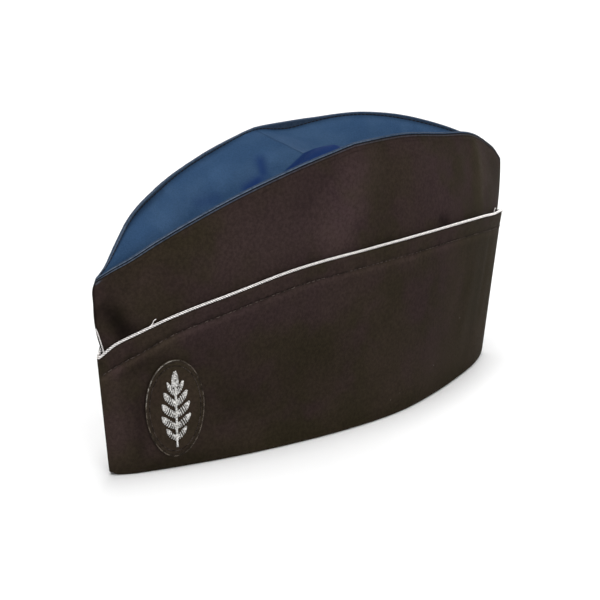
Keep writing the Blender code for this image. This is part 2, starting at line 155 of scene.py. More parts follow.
def insetLine(side, line, depth, place=None):
    # Moves one side's outline inwards. With its places given, its ends stop at the middle plane.
    moved = line + inwardOf(side, line) * (np.zeros(len(line)) + depth)[:, None]
    if place is None:
        return moved
    free = side * moved[:, 1]
    target = place.copy()
    for end, order in ((-1, 1), (1, -1)):
        clear, spots = free[::order], place[::order]
        crossed = np.nonzero(clear[:len(clear) // 2] <= 0)[0]
        if len(crossed):
            k = crossed[-1]
            stop = mix(spots[k], spots[k + 1], clear[k] / (clear[k] - clear[k + 1]))
            target += (stop - end) * np.clip(1 - np.abs(place - end) / 0.3, 0, 1) ** 2
    return np.stack([np.interp(target, place, moved[:, axis]) for axis in range(3)], axis=1)


def travelAlong(line):
    # Length run along a line up to each of its points.
    steps = np.linalg.norm(np.diff(line, axis=0), axis=-1)
    return np.concatenate((np.zeros((1,) + steps.shape[1:]), np.cumsum(steps, axis=0)))


def fromEnds(line):
    # How far each point is from the nearer end of its line.
    travel = travelAlong(line)
    return np.minimum(travel, travel[-1] - travel)


def ridgeLine(side, place, soft):
    # The top of one side, with its crest rounded over a few millimetres.
    name = "left" if side == left else "right"
    x = cap["ridgeShift"] + cap["ridgeLength"] / 2 * place

    def eased(column):
        value = alongCap(column, place, creased=True)
        near = [alongCap(column, np.clip(place + step, -1, 1), creased=True) for step in cap["crestReach"]]
        rounded = (value * 2 + sum(near)) / (2 + len(near))
        return mix(value, rounded, soft * hump(place - cap["crest"], cap["crestWidth"]))

    y = side * cap["ridgeWidth"] / 2 * eased(name + "Ridge")
    return np.stack((x, y, cap["crownHeight"] * eased(name + "Height")), axis=-1)


# Folds of the crown's sides: side, (place, rise) at both ends, half width and height in metres.
crownFolds = (
    (left, (-0.990, 1.60), (-0.945, 1.42), 0.0038, -0.0016),
    (left, (-0.945, 1.42), (-0.918, 1.00), 0.0042, -0.0030),
    (left, (-0.972, 1.22), (-0.960, 1.00), 0.0034, 0.0012),
    (left, (-0.855, 1.75), (-0.850, 1.05), 0.0070, 0.0007),
    (left, (-0.05, 1.97), (-0.24, 1.15), 0.0130, 0.0012),
    (left, (0.10, 1.95), (0.07, 1.20), 0.0090, -0.0007),
    (left, (0.27, 1.95), (0.25, 1.30), 0.0080, 0.0004),
    (left, (0.62, 1.95), (0.59, 1.10), 0.0060, -0.0004),
    (left, (0.71, 1.95), (0.70, 1.10), 0.0050, 0.0004),
    (left, (-0.47, 1.60), (-0.40, 1.35), 0.0060, -0.0004),
    (left, (0.36, 1.10), (0.42, 1.00), 0.0040, -0.0007),
    (right, (-0.95, 1.70), (-0.90, 1.05), 0.0042, -0.0012),
    (right, (-0.48, 1.90), (-0.42, 1.20), 0.0080, -0.0009),
    (right, (0.50, 1.85), (0.47, 1.10), 0.0080, -0.0008),
    (right, (0.10, 1.70), (0.16, 1.20), 0.0090, 0.0006),
)
# Painted light and shade on the cloth, lighter on lit stretches and darker along folds, laid out the same way
# with a share in place of the height.
crownPaintedLight = (
    (left, (-0.05, 1.92), (-0.22, 1.10), 0.0150, 0.42),
    (left, (0.15, 1.70), (0.95, 1.50), 0.0300, 0.10),
    (left, (-0.70, 1.65), (-0.30, 1.30), 0.0180, 0.10),
    (left, (-0.10, 1.96), (-0.34, 1.55), 0.0060, -0.14),
    (left, (-0.08, 1.50), (-0.22, 1.05), 0.0090, 0.18),
    (left, (0.92, 1.80), (0.92, 1.25), 0.0110, -0.30),
    (left, (0.10, 1.95), (0.08, 1.10), 0.0080, -0.06),
    (left, (0.40, 1.80), (0.38, 1.20), 0.0110, 0.10),
    (left, (0.71, 1.95), (0.69, 1.10), 0.0055, 0.16),
    (left, (-0.990, 1.62), (-0.945, 1.44), 0.0050, -0.45),
    (left, (-0.945, 1.44), (-0.920, 1.00), 0.0040, -0.68),
    (left, (-0.93, 1.95), (-0.90, 1.60), 0.0100, -0.16),
    (left, (-0.78, 1.70), (-0.74, 1.10), 0.0070, -0.10),
    (left, (0.36, 1.12), (0.42, 1.02), 0.0034, -0.40),
)
crownHues = (
    (left, (-0.62, 1.55), (-0.05, 1.50), 0.0260, 0.75),
    (left, (-0.60, 1.45), (0.35, 1.50), 0.0400, 0.30),
    (left, (0.98, 1.80), (0.97, 1.10), 0.0120, -0.90),
    (left, (0.42, 1.80), (0.38, 1.10), 0.0140, 0.55),
    (left, (0.10, 1.95), (0.08, 1.10), 0.0110, -0.40),
    (left, (-0.93, 1.85), (-0.62, 1.80), 0.0080, -0.55),
    (left, (0.71, 1.95), (0.69, 1.10), 0.0080, -1.00),
    (left, (-0.80, 1.60), (-0.78, 1.10), 0.0080, -0.45),
    (right, (-0.40, 1.60), (0.30, 1.50), 0.0260, 0.50),
)


def foldRelief(folds, side, place, rise, span):
    # Adds up long soft folds, each a line on the cloth with a rounded cross section.
    # The span is the cloth's length and height in metres for one unit of place and of rise.
    total = np.zeros(np.broadcast(place, rise).shape)
    px, py = place * span[0], rise * span[1]
    for foldSide, start, end, width, height in folds:
        if foldSide != side:
            continue
        ax, ay = start[0] * span[0], start[1] * span[1]
        bx, by = end[0] * span[0], end[1] * span[1]
        t = ((px - ax) * (bx - ax) + (py - ay) * (by - ay)) / math.hypot(bx - ax, by - ay) ** 2
        near = np.clip(t, 0, 1)
        away = np.hypot(px - mix(ax, bx, near), py - mix(ay, by, near))
        ends = smoothStep((t + 0.25) / 0.5) * smoothStep((1.25 - t) / 0.5)
        total = total + height * hump(away, width) * ends
    return total


def crownLine(side, place, rise):
    # Outer face of one side at one rise: 0 on the hem, 1 at the band's edge, 2 at the ridge.
    low, share = min(rise, 1.0), max(rise - 1.0, 0.0)
    depth = cap["bandCloth"] + mix(cap["gap"], cap["standOff"], low)
    lower = insetLine(side, bandFace(side, place, low), depth, place)
    lower[..., 2] = mix(cap["foldThickness"] + cap["gap"], edgeHeight(place), low)
    # The near side's crest is sharpest along its ridge.
    soft = 0.8 if side == right else 0.35 + 0.65 * float(smoothStep((1 - share) / 0.25))
    line = mix(lower, ridgeLine(side, place, soft), share)
    swell = 4 * share * (1 - share)
    frontward, backward = (1 - place) / 2, (1 + place) / 2
    line[..., 0] -= cap["frontBulge"] * swell * frontward ** 4
    line[..., 0] += cap["backBulge"] * swell * backward ** 4
    line[..., 0] -= cap["tipBulge"] * hump(share - cap["tipRise"], cap["tipHeight"]) * frontward ** 10
    line[..., 1] += side * (cap["sideBulge"] * swell * alongCap("edge", place) + cap["gap"] / 2)
    return line


print("cap outline ready")


class Wire:
    # A node's output. Arithmetic on it adds Math nodes to its tree.
    def __init__(self, bench, socket):
        self.bench = bench
        self.socket = socket

    def __add__(self, other):
        return self.bench.math("ADD", self, other)

    def __sub__(self, other):
        return self.bench.math("SUBTRACT", self, other)

    def __rsub__(self, other):
        return self.bench.math("SUBTRACT", other, self)

    def __mul__(self, other):
        return self.bench.math("MULTIPLY", self, other)

    def __truediv__(self, other):
        return self.bench.math("DIVIDE", self, other)

    def __pow__(self, other):
        return self.bench.math("POWER", self, other)

    def sine(self):
        return self.bench.math("SINE", self)

    def cosine(self):
        return self.bench.math("COSINE", self)


class Bench:
    # Builds one node tree, for a material or for geometry.
    def __init__(self, tree):
        self.tree = tree
        tree.nodes.clear()

    def plug(self, made, inputs):
        for name, value in inputs.items():
            if isinstance(value, Wire):
                self.tree.links.new(value.socket, made.inputs[name])
            else:
                made.inputs[name].default_value = value

    def node(self, kind, inputs=None, output=0, **settings):
        # Adds a node and returns one of its outputs, or the node itself where output is None.
        made = self.tree.nodes.new(kind)
        for name, value in settings.items():
            setattr(made, name, value)
        self.plug(made, inputs or {})
        return made if output is None else Wire(self, made.outputs[output])

    def out(self, made, output):
        return Wire(self, made.outputs[output])

    def math(self, operation, *values):
        return self.node("ShaderNodeMath", dict(enumerate(values)), operation=operation)

    def vector(self, operation, *values, output=0):
        return self.node("ShaderNodeVectorMath", dict(enumerate(values)), output, operation=operation)

    def scaled(self, vector, factor):
        return self.node("ShaderNodeVectorMath", {0: vector, "Scale": factor}, operation="SCALE")

    def blend(self, share, first, second):
        # Mixes two colours; the Mix node's colour sockets are its seventh and eighth.
        colours = [value if isinstance(value, Wire) else (*value, 1.0) for value in (first, second)]
        inputs = {0: share, 6: colours[0], 7: colours[1]}
        return self.node("ShaderNodeMix", inputs, 2, data_type="RGBA")

    def range(self, value, low, high, newLow=0.0, newHigh=1.0):
        inputs = {0: value, 1: low, 2: high, 3: newLow, 4: newHigh}
        return self.node("ShaderNodeMapRange", inputs, interpolation_type="SMOOTHSTEP")

    def noise(self, where, scale, detail=2.0, roughness=0.5):
        inputs = {"Vector": where, "Scale": scale, "Detail": detail, "Roughness": roughness}
        return self.node("ShaderNodeTexNoise", inputs)

    def mark(self, name):
        return self.node("ShaderNodeAttribute", None, "Fac", attribute_name=name)

    def cloth(self):
        # The cloth's UVMap in metres: along the piece, and up it or round the thread.
        split = self.node("ShaderNodeSeparateXYZ", {0: self.node("ShaderNodeUVMap", uv_map="UVMap")}, None)
        return self.out(split, 0), self.out(split, 1)

    def bump(self, strength, distance, height):
        return self.node("ShaderNodeBump", {"Strength": strength, "Distance": distance, "Height": height})


def newFinish(name, constant):
    # A material with one main shader, whose fixed values are set on its own sockets.
    material = bpy.data.materials.new(name)
    material.use_nodes = True
    bench = Bench(material.node_tree)
    shader = bench.node("ShaderNodeBsdfPrincipled", constant, None)
    bench.node("ShaderNodeOutputMaterial", {"Surface": bench.out(shader, 0)}, None)
    return material, bench, shader


darkCloth = {
    "brown": (0.0206, 0.0141, 0.0112), "olive": (0.0186, 0.0147, 0.0085), "plum": (0.0238, 0.0148, 0.0144),
    "wornAndLit": (0.098, 0.125, 0.170), "slate": (0.0150, 0.0315, 0.0600), "dusk": (0.0035, 0.0028, 0.0024),
    "ribPitch": 0.00062, "ribSlant": 0.62, "yarnPitch": 0.00036, "bump": 0.00010,
    # Noise scales of the fuzz, the mixed fibres, the slow drifts of tone and hue, and the lint.
    "fuzz": 1500.0, "fibres": 620.0, "tone": 26.0, "hue": 48.0, "lint": 95.0,
    "lintColour": (0.14, 0.13, 0.115),
    "sheen": {"Sheen Weight": 0.015, "Sheen Roughness": 0.5, "Sheen Tint": (0.75, 0.55, 0.45, 1),
              "Specular IOR Level": 0.02},
}
patchCloth = {
    **darkCloth, "ribPitch": 0.0004, "bump": 0.00016,
    "brown": (0.0244, 0.0180, 0.0122), "olive": (0.0232, 0.0185, 0.0110), "plum": (0.0254, 0.0173, 0.0128),
}


def makeDarkCloth(name, settings):
    # Fine wool twill: slanted ribs, crossing yarns, fuzz, slow changes of tone, worn lips with painted
    # highlights, and painted light and shade from its marks.
    material, bench, shader = newFinish(name, settings["sheen"])
    spot = bench.node("ShaderNodeTexCoord", None, "Object")
    run, height = bench.cloth()
    slanted = run * settings["ribSlant"] + height + bench.noise(spot, 130.0) * 0.0009
    ribs = (slanted * (2 * math.pi / settings["ribPitch"])).sine() * 0.5 + 0.5
    crossed = run - height * settings["ribSlant"]
    yarns = (crossed * (2 * math.pi / settings["yarnPitch"])).sine() * 0.5 + 0.5
    fuzz = bench.noise(spot, settings["fuzz"], 3.0, 0.65)
    fibres = bench.noise(spot, settings["fibres"], 2.0, 0.7)
    tone = bench.noise(spot, settings["tone"], 3.0, 0.6)
    hue = bench.noise(bench.vector("ADD", spot, (0.31, 0.17, 0.05)), settings["hue"])
    drift = bench.mark("hue")
    base = bench.blend(bench.range(hue + drift * 0.22, 0.38, 0.66), settings["olive"], settings["plum"])
    base = bench.blend(bench.range(tone, 0.35, 0.65, 0.15, 0.70), base, settings["brown"])
    value = bench.range(tone, 0.3, 0.7, 0.90, 1.10) * bench.range(fibres, 0.25, 0.75, 0.80, 1.22)
    base = bench.scaled(base, value * (ribs * 0.16 + 0.92) * (bench.mark("light") + 1))
    warmth = bench.node("ShaderNodeCombineXYZ", {0: drift * 0.02 + 1, 1: 1.0, 2: drift * 0.10 + 1})
    base = bench.vector("MULTIPLY", base, warmth)
    base = bench.blend(bench.mark("strip"), base, settings["slate"])
    base = bench.blend(bench.mark("shade"), base, settings["dusk"])
    # The pale colour on the lips is wear together with painted highlights along them.
    wearAndHighlight = bench.mark("wearAndHighlight") * bench.range(fibres, 0.30, 0.62, 0.35, 1.0)
    base = bench.blend(wearAndHighlight, base, settings["wornAndLit"])
    dots = bench.node("ShaderNodeTexVoronoi", {"Vector": spot, "Scale": settings["lint"]}, "Distance")
    lint = (1 - bench.range(dots, 0.018, 0.034)) * bench.range(bench.noise(spot, 17.0, 0.0), 0.60, 0.66)
    base = bench.blend(lint, base, settings["lintColour"])
    bumped = bench.bump(0.85, settings["bump"], ribs * 0.55 + yarns * 0.2 + fuzz * 0.9)
    bench.plug(shader, {"Base Color": base, "Roughness": fuzz * 0.14 + 0.72, "Normal": bumped})
    return material


blueCloth = {
    "blue": (0.0290, 0.0620, 0.1240), "deep": (0.0210, 0.0494, 0.1040), "pale": (0.0372, 0.0735, 0.1345),
    "dusk": (0.0100, 0.0270, 0.1000), "weavePitch": 0.00042, "bump": 0.00006, "fuzz": 1300.0, "tone": 55.0,
    "sheen": {"Sheen Weight": 0.008, "Sheen Roughness": 0.5, "Sheen Tint": (0.15, 0.45, 1.0, 1),
              "Specular IOR Level": 0.005},
}


def makeBlueCloth():
    # Smooth wool: a fine plain weave under fuzz, with cloudy tones and shaded dents.
    material, bench, shader = newFinish("blueCloth", blueCloth["sheen"])
    spot = bench.node("ShaderNodeTexCoord", None, "Object")
    warp, weft = ((run * (2 * math.pi / blueCloth["weavePitch"])).sine() for run in bench.cloth())
    weave = warp * weft * 0.5 + 0.5
    fuzz = bench.noise(spot, blueCloth["fuzz"], 3.0, 0.6)
    tone = bench.noise(spot, blueCloth["tone"], 3.0, 0.6)
    base = bench.blend(bench.range(tone, 0.34, 0.66), blueCloth["deep"], blueCloth["pale"])
    base = bench.blend(0.55, base, blueCloth["blue"])
    value = bench.range(fuzz, 0.3, 0.7, 0.90, 1.10) * (weave * 0.08 + 0.96) * (bench.mark("light") + 1)
    base = bench.blend(bench.mark("shade"), bench.scaled(base, value), blueCloth["dusk"])
    bumped = bench.bump(0.8, blueCloth["bump"], weave * 0.5 + fuzz * 0.8)
    bench.plug(shader, {"Base Color": base, "Roughness": fuzz * 0.12 + 0.68, "Normal": bumped})
    return material


# Threads: lit colour, dark colour for grime and painted shade between strands, roughness, metallic, length of
# a turn, grime and its noise scale.
threads = {
    "silverCord": ((0.97, 0.935, 0.92), (0.22, 0.20, 0.185), 0.42, 0.05, 0.0009, 0.50, 1500.0),
    "silverThread": ((0.80, 0.79, 0.77), (0.10, 0.094, 0.085), 0.36, 0.30, 0.0006, 0.8, 1300.0),
    "seamThread": ((0.075, 0.058, 0.050), (0.012, 0.009, 0.0075), 0.6, 0.0, 0.0006, 0.9, 420.0),
    "rimThread": ((0.034, 0.0255, 0.0180), (0.014, 0.0105, 0.0075), 0.6, 0.0, 0.0006, 0.8, 420.0),
    "darkThread": ((0.0150, 0.0112, 0.0090), (0.0065, 0.0050, 0.0042), 0.6, 0.0, 0.0006, 0.5, 420.0),
    "edgeThreadLit": ((0.40, 0.37, 0.33), (0.045, 0.036, 0.028), 0.55, 0.0, 0.0005, 0.90, 300.0),
    "edgeThread": ((0.170, 0.140, 0.112), (0.022, 0.017, 0.013), 0.55, 0.0, 0.0005, 0.95, 300.0),
}


def makeThread(name, light, dark, roughness, metallic, turnPitch, grime, speckle):
    # Twisted yarn or metal thread: fine turns along its own length, dirtier in patches, with painted shade in
    # the grooves between strands.
    constant = {"Metallic": metallic, "Specular IOR Level": 0.4 if metallic else 0.03}
    material, bench, shader = newFinish(name, constant)
    spot = bench.node("ShaderNodeTexCoord", None, "Object")
    length, around = bench.cloth()
    turns = ((length / turnPitch + around) * (2 * math.pi)).sine() * 0.5 + 0.5
    dust = bench.range(bench.noise(spot, speckle, 3.0, 0.7), 0.38, 0.62)
    base = bench.blend(dust * grime + turns * 0.18, light, dark)
    # Painted shade darkens the grooves between the strands.
    between = bench.range(bench.mark("depth"), 0.12, 0.45, 0.0, 0.85)
    base = bench.blend(between, base, [share * 0.25 for share in dark])
    bumped = bench.bump(0.7, 0.00004, turns + dust * 0.4)
    bench.plug(shader, {"Base Color": base, "Roughness": dust * 0.15 + roughness, "Normal": bumped})
    return material


finishes = {
    "darkCloth": makeDarkCloth("darkCloth", darkCloth),
    "patchCloth": makeDarkCloth("patchCloth", patchCloth),
    "blueCloth": makeBlueCloth(),
    **{name: makeThread(name, *values) for name, values in threads.items()},
}
print("finishes ready:", len(finishes))


def addObject(name, data):
    thing = bpy.data.objects.new(name, data)
    bpy.context.scene.collection.objects.link(thing)
    return thing


def settle(thing, node=None):
    # Every piece rides on the one body, and a node's main piece stands in for it.
    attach(thing, "root")
    if node:
        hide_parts(node)
    print("made", thing.name, len(thing.data.polygons), "faces")


def buildPiece(name, points, faces, finish, node, uv, marks=None, sharp=55):
    mesh = bpy.data.meshes.new(name)
    mesh.from_pydata(np.asarray(points, dtype=float).reshape(-1, 3).tolist(), [], faces)
    corners = np.empty(len(mesh.loops), dtype=int)
    mesh.loops.foreach_get("vertex_index", corners)
    layer = mesh.uv_layers.new(name="UVMap")
    layer.data.foreach_set("uv", np.asarray(uv, dtype=np.float32).reshape(-1, 2)[corners].ravel())
    for label, values in (marks or {}).items():
        layer = mesh.attributes.new(label, "FLOAT", "POINT")
        layer.data.foreach_set("value", np.asarray(values, dtype=np.float32).ravel())
    mesh.shade_smooth()
    mesh.set_sharp_from_angle(angle=math.radians(sharp))
    mesh.materials.append(finishes[finish])
    settle(addObject(name, mesh), node)


def gridFaces(columns, rows, wrapColumns=False, wrapRows=False, flip=False):
    starts = (np.arange(columns - (not wrapColumns)), np.arange(rows - (not wrapRows)))
    i, j = (grid.ravel() for grid in np.meshgrid(*starts, indexing="ij"))
    nextI, nextJ = (i + 1) % columns, (j + 1) % rows
    corners = (i * rows + j, nextI * rows + j, nextI * rows + nextJ, i * rows + nextJ)
    quads = np.stack(corners, axis=1)
    return (quads[:, ::-1] if flip else quads).tolist()


def sleeveFaces(columns, rows, flip=False):
    # Faces of a closed section carried along the cap, with both of its ends filled.
    faces = gridFaces(columns, rows, wrapRows=True, flip=flip)
    for first, turned in ((0, not flip), ((columns - 1) * rows, flip)):
        for j in range(rows // 2 - 1):
            quad = (first + j, first + j + 1, first + rows - 2 - j, first + rows - 1 - j)
            faces.append(quad[::-1] if turned else quad)
    return faces


def clothUv(section, along):
    # Metres along the cap, and metres over the cloth from the section's first row.
    up = travelAlong(section.swapaxes(0, 1)).T
    return np.stack((np.broadcast_to(along[:, None], up.shape), up), axis=-1)


crown = {
    # Section of the lip at the ridge, in mm: out from the face, and down from the ridge.
    "lip": ((0.02, 4.4), (0.04, 3.8), (0.05, 3.3), (0.02, 2.95), (-0.09, 2.68), (-0.15, 2.45), (-0.11, 2.22),
            (0.03, 1.97), (0.12, 1.72), (0.10, 1.47), (-0.06, 1.24), (-0.28, 1.04), (-0.20, 0.88),
            (-0.02, 0.68), (0.0, 0.50), (-0.07, 0.32), (-0.18, 0.18), (-0.36, 0.07), (-0.62, 0.02)),
    "inside": ((-0.92, 0.02), (-1.18, 0.1), (-1.4, 0.25), (-1.57, 0.45), (-1.67, 0.66), (-1.70, 0.86),
               (-1.68, 1.02), (-1.66, 1.17), (-1.62, 1.38), (-1.6, 1.68), (-1.6, 1.98), (-1.6, 2.25),
               (-1.6, 2.46), (-1.6, 2.66), (-1.6, 2.85), (-1.6, 3.08), (-1.6, 3.4), (-1.6, 3.8), (-1.6, 4.4)),
    "thinEnd": 0.45, "rows": 44, "topRise": 1.915, "lowRises": (0.0, 0.2, 0.4, 0.6, 0.75, 0.88, 0.96),
    "ripple": 0.00030, "lipWander": 0.00008, "span": (cap["ridgeLength"] / 2, 0.052),
    # Depths below the ridge in mm of the folded crest, its seam, the welt and the hollow under it.
    "crestDrop": 0.42, "seamDrop": 1.06, "weltDrop": 1.65, "hollowDrop": 2.4,
}


def wallShare(place):
    # The walls thin out towards the end seams.
    return mix(crown["thinEnd"], 1.0, smoothStep((1 - np.abs(place)) / 0.12))


def crownMarks(side, place, rises, half):
    # Worn stretches of the lip with painted highlights, painted shade in its grooves and hollows, slate-blue
    # stretches, and painted light on its inside, row by row over the whole section.
    far = np.full(len(rises), 9.0)
    drops = np.concatenate((far, np.array(crown["lip"] + crown["inside"])[:, 1], far))[None]
    outside, onLip = (np.arange(2 * half) < half)[None], drops < 8
    front, tail = (smoothStep(step)[:, None] for step in ((-0.20 - place) / 0.45, (place - 0.60) / 0.25))
    tip, mouth = hump(place + 0.90, 0.09)[:, None], hump(place + 0.986, 0.008)[:, None] * (side == left)
    # The near ridge's painted highlight line fades behind the crest.
    past = smoothStep((place + 0.02) / 0.10)[:, None] * (side == left)
    crest, welt = crown["crestDrop"], crown["weltDrop"]
    wornAndLit = hump(drops - crest, 0.28) * mix(1.0, 0.25, tail) * mix(0.8, 1.0, front) * (1 - 0.6 * past)
    wornAndLit = wornAndLit + (0.26 + 0.14 * front) * hump(drops - welt, 0.26)
    wornAndLit = wornAndLit + 0.25 * tip * hump(drops - welt, 0.3) + 0.8 * mouth * hump(drops - 3.3, 0.5)
    wornAndLitInside = (0.45 - 0.25 * tail) * (1 - 0.6 * past) * hump(drops - 0.1, 0.2)
    wornAndLitInside = wornAndLitInside + tip * 0.4 * hump(drops - 1.3, 1.0) + 0.20 * onLip
    shaded = (1.0 - 0.3 * tail) * hump(drops - crown["seamDrop"], 0.30)
    shaded = shaded + 0.35 * hump(drops - crown["hollowDrop"], 0.3) + mouth * hump(drops - 2.0, 0.7)
    bluish = mix(1.0, 0.5, tail) * smoothStep((1.3 - drops) / 0.3) + 0.7 * front * hump(drops - welt, 0.35)
    marks = {"wearAndHighlight": np.where(outside, wornAndLit, wornAndLitInside), "shade": np.where(outside, shaded, 0.0),
             "strip": np.where(outside, bluish, 1.0 * onLip)}
    marks = {label: np.clip(values, 0, 1) for label, values in marks.items()}
    marks["light"] = np.where(outside, 0.0, (0.7 - 0.6 * past) * onLip)
    marks["hue"] = np.zeros_like(marks["light"])
    return marks


def makeCrownSide(name, side, node):
    place = finePlaces()
    topLine = crownLine(side, place, 2.0)
    down = crownLine(side, place, 1.9) - topLine
    down /= np.linalg.norm(down, axis=1)[:, None]
    rises = np.append(crown["lowRises"], np.linspace(1.0, crown["topRise"], crown["rows"]))
    outer = np.stack([crownLine(side, place, rise) for rise in rises], axis=1)
    inward = np.stack([inwardOf(side, outer[:, j]) for j in range(len(rises))], axis=1)
    placeGrid, riseGrid = np.meshgrid(place, rises, indexing="ij")
    relief = foldRelief(crownFolds, side, placeGrid, riseGrid, crown["span"])
    relief = relief + crown["ripple"] * softNoise(placeGrid * 7 + 3, riseGrid * 3.2, 5 + side)
    relief = relief * smoothStep((1 - np.abs(placeGrid)) / 0.05) * smoothStep((riseGrid - 0.85) / 0.2)
    relief = relief * smoothStep((2.02 - riseGrid) / 0.12)
    outer = outer - inward * relief[..., None]
    ridgeIn = inwardOf(side, topLine)
    wander = crown["lipWander"] * softNoise(place * 60, side, 9)[:, None]
    thin = wallShare(place)[:, None]

    def lipPoints(profile):
        points = []
        for out, drop in np.array(profile) / 1000:
            inset = wander * (drop < 0.0015) - out * (thin if out < -0.0003 else 1)
            points.append(topLine + ridgeIn * inset + down * drop)
        return np.stack(points, axis=1)

    lip, lining = lipPoints(crown["lip"]), lipPoints(crown["inside"])
    inner = (outer + inward * cap["crownCloth"] * thin[..., None])[:, ::-1]
    # The cloth rolls in to the end seams, over a fine pressed edge beside each seam.
    face = np.concatenate((outer, lip), axis=1)
    fromSeam = fromEnds(face)
    pressed = 0.00014 * hump(fromSeam - 0.0011, 0.0003) - 0.00026 * hump(fromSeam - 0.00062, 0.00022)
    faceIn = np.concatenate((inward, np.repeat(ridgeIn[:, None], len(crown["lip"]), axis=1)), axis=1)
    section = np.concatenate((face - faceIn * pressed[..., None], lining, inner), axis=1)
    section[..., 1] = side * np.maximum(side * section[..., 1], cap["gap"] / 2)
    # At both end seams the sides close on each other, so that no light shows between them.
    section[..., 1] -= side * (cap["gap"] / 2 + cap["seamLap"]) * hump(fromEnds(section), 0.0007)
    half = face.shape[1]
    marks = crownMarks(side, place, rises, half)
    # Painted light and shade go into the light mark, and the hue drifts into the hue mark.
    for label, folds in (("light", crownPaintedLight), ("hue", crownHues)):
        drift = foldRelief(folds, side, placeGrid, riseGrid, crown["span"])
        marks[label][:, :len(rises)] += drift
        marks[label][:, len(rises):half] += drift[:, -1:]
    # Painted shade darkens the cloth where it rolls in at the end seams.
    marks["light"][:, :half] -= 0.75 * hump(fromSeam, 0.0009)
    uv = clothUv(section, travelAlong(crownLine(side, place, 1.0)))
    faces = sleeveFaces(*section.shape[:2], flip=side == left)
    buildPiece(name, section, faces, "darkCloth", node, uv, marks)


makeCrownSide("crownSideLeft", left, "crown_side_left")
makeCrownSide("crownSideRight", right, "crown_side_right")

topPanel = {
    "cloth": 0.0012, "reach": 0.978, "rows": 34, "ripple": 0.0004, "span": (cap["ridgeLength"] / 2, 0.034),
    # How far below its ridge each edge is sewn in, in mm, at places along the cap.
    "leftDrops": ((-1.0, 0.8), (-0.9, 1.4), (-0.7, 2.2), (0.7, 2.2), (0.9, 1.6), (1.0, 1.0)),
    "rightDrops": ((-1.0, 0.8), (-0.92, 0.9), (-0.75, 1.7), (-0.57, 2.3), (-0.45, 1.6), (-0.30, 1.7),
                   (-0.12, 1.1), (-0.04, 1.8), (0.02, 3.2), (0.10, 4.0), (0.16, 3.2), (0.24, 2.1),
                   (0.45, 1.8), (0.65, 2.3), (0.80, 1.9), (1.0, 1.0)),
    # Shade on the near half: its strength, and how far behind the crest it has faded out.
    "nearShade": 0.95, "shadeFade": 0.34,
}
# Swells and dents, laid out as on the crown with the share from the ridge to the keel as the rise.
panelFolds = (
    (left, (-0.06, 0.25), (-0.13, 0.75), 0.0190, 0.0028),
    (right, (-0.175, 0.50), (-0.225, 0.78), 0.0032, -0.0016),
    (right, (-0.13, 0.55), (-0.16, 0.85), 0.0045, 0.0009),
    (right, (-0.24, 0.78), (-0.31, 0.76), 0.0034, -0.0009),
    (right, (-0.42, 0.66), (-0.50, 0.52), 0.0050, -0.0008),
    (right, (-0.36, 0.30), (-0.34, 0.60), 0.0100, 0.0008),
    (right, (-0.60, 0.35), (-0.52, 0.70), 0.0120, 0.0010),
    (right, (0.20, 0.30), (0.30, 0.60), 0.0120, 0.0008),
)
# Painted shade in the far half's dents and along its keel, laid out as its folds.
panelPaintedShade = (
    (right, (-0.172, 0.50), (-0.215, 0.80), 0.0026, 0.75),
    (right, (-0.235, 0.80), (-0.31, 0.76), 0.0026, 0.55),
    (right, (-0.40, 0.67), (-0.50, 0.52), 0.0032, 0.35),
    (right, (-0.21, 0.86), (-0.32, 0.82), 0.0030, 0.50),
)
panelLights = (
    (right, (-0.96, 0.02), (-0.58, 0.03), 0.0024, -0.50),
    (right, (-0.80, 0.40), (-0.60, 0.50), 0.0080, 0.16),
    (right, (-0.58, 0.02), (-0.15, 0.02), 0.0014, -0.35),
    (right, (-0.10, 0.02), (0.90, 0.02), 0.0014, -0.25),
    (right, (-0.14, 0.45), (-0.17, 0.75), 0.0040, 0.12),
    (right, (-0.36, 0.25), (-0.34, 0.60), 0.0090, 0.12),
)


def topSeam(side, place, inset=0.0):
    # Where the top panel is sewn to the inner face of one side, below its lip.
    upper = crownLine(side, place, 2.0)
    lower = crownLine(side, place, 1.8)
    spots, drops = np.array(topPanel["leftDrops" if side == left else "rightDrops"]).T
    down = smoothCurve(spots, drops / 1000, place) / (upper[..., 2] - lower[..., 2])
    return insetLine(side, mix(upper, lower, down[..., None]), cap["crownCloth"] * wallShare(place) + inset)


def joinHalves(near, far):
    # One grid from the near seam over the fold to the far seam.
    return np.stack(list(near) + list(far)[::-1][1:], axis=1)


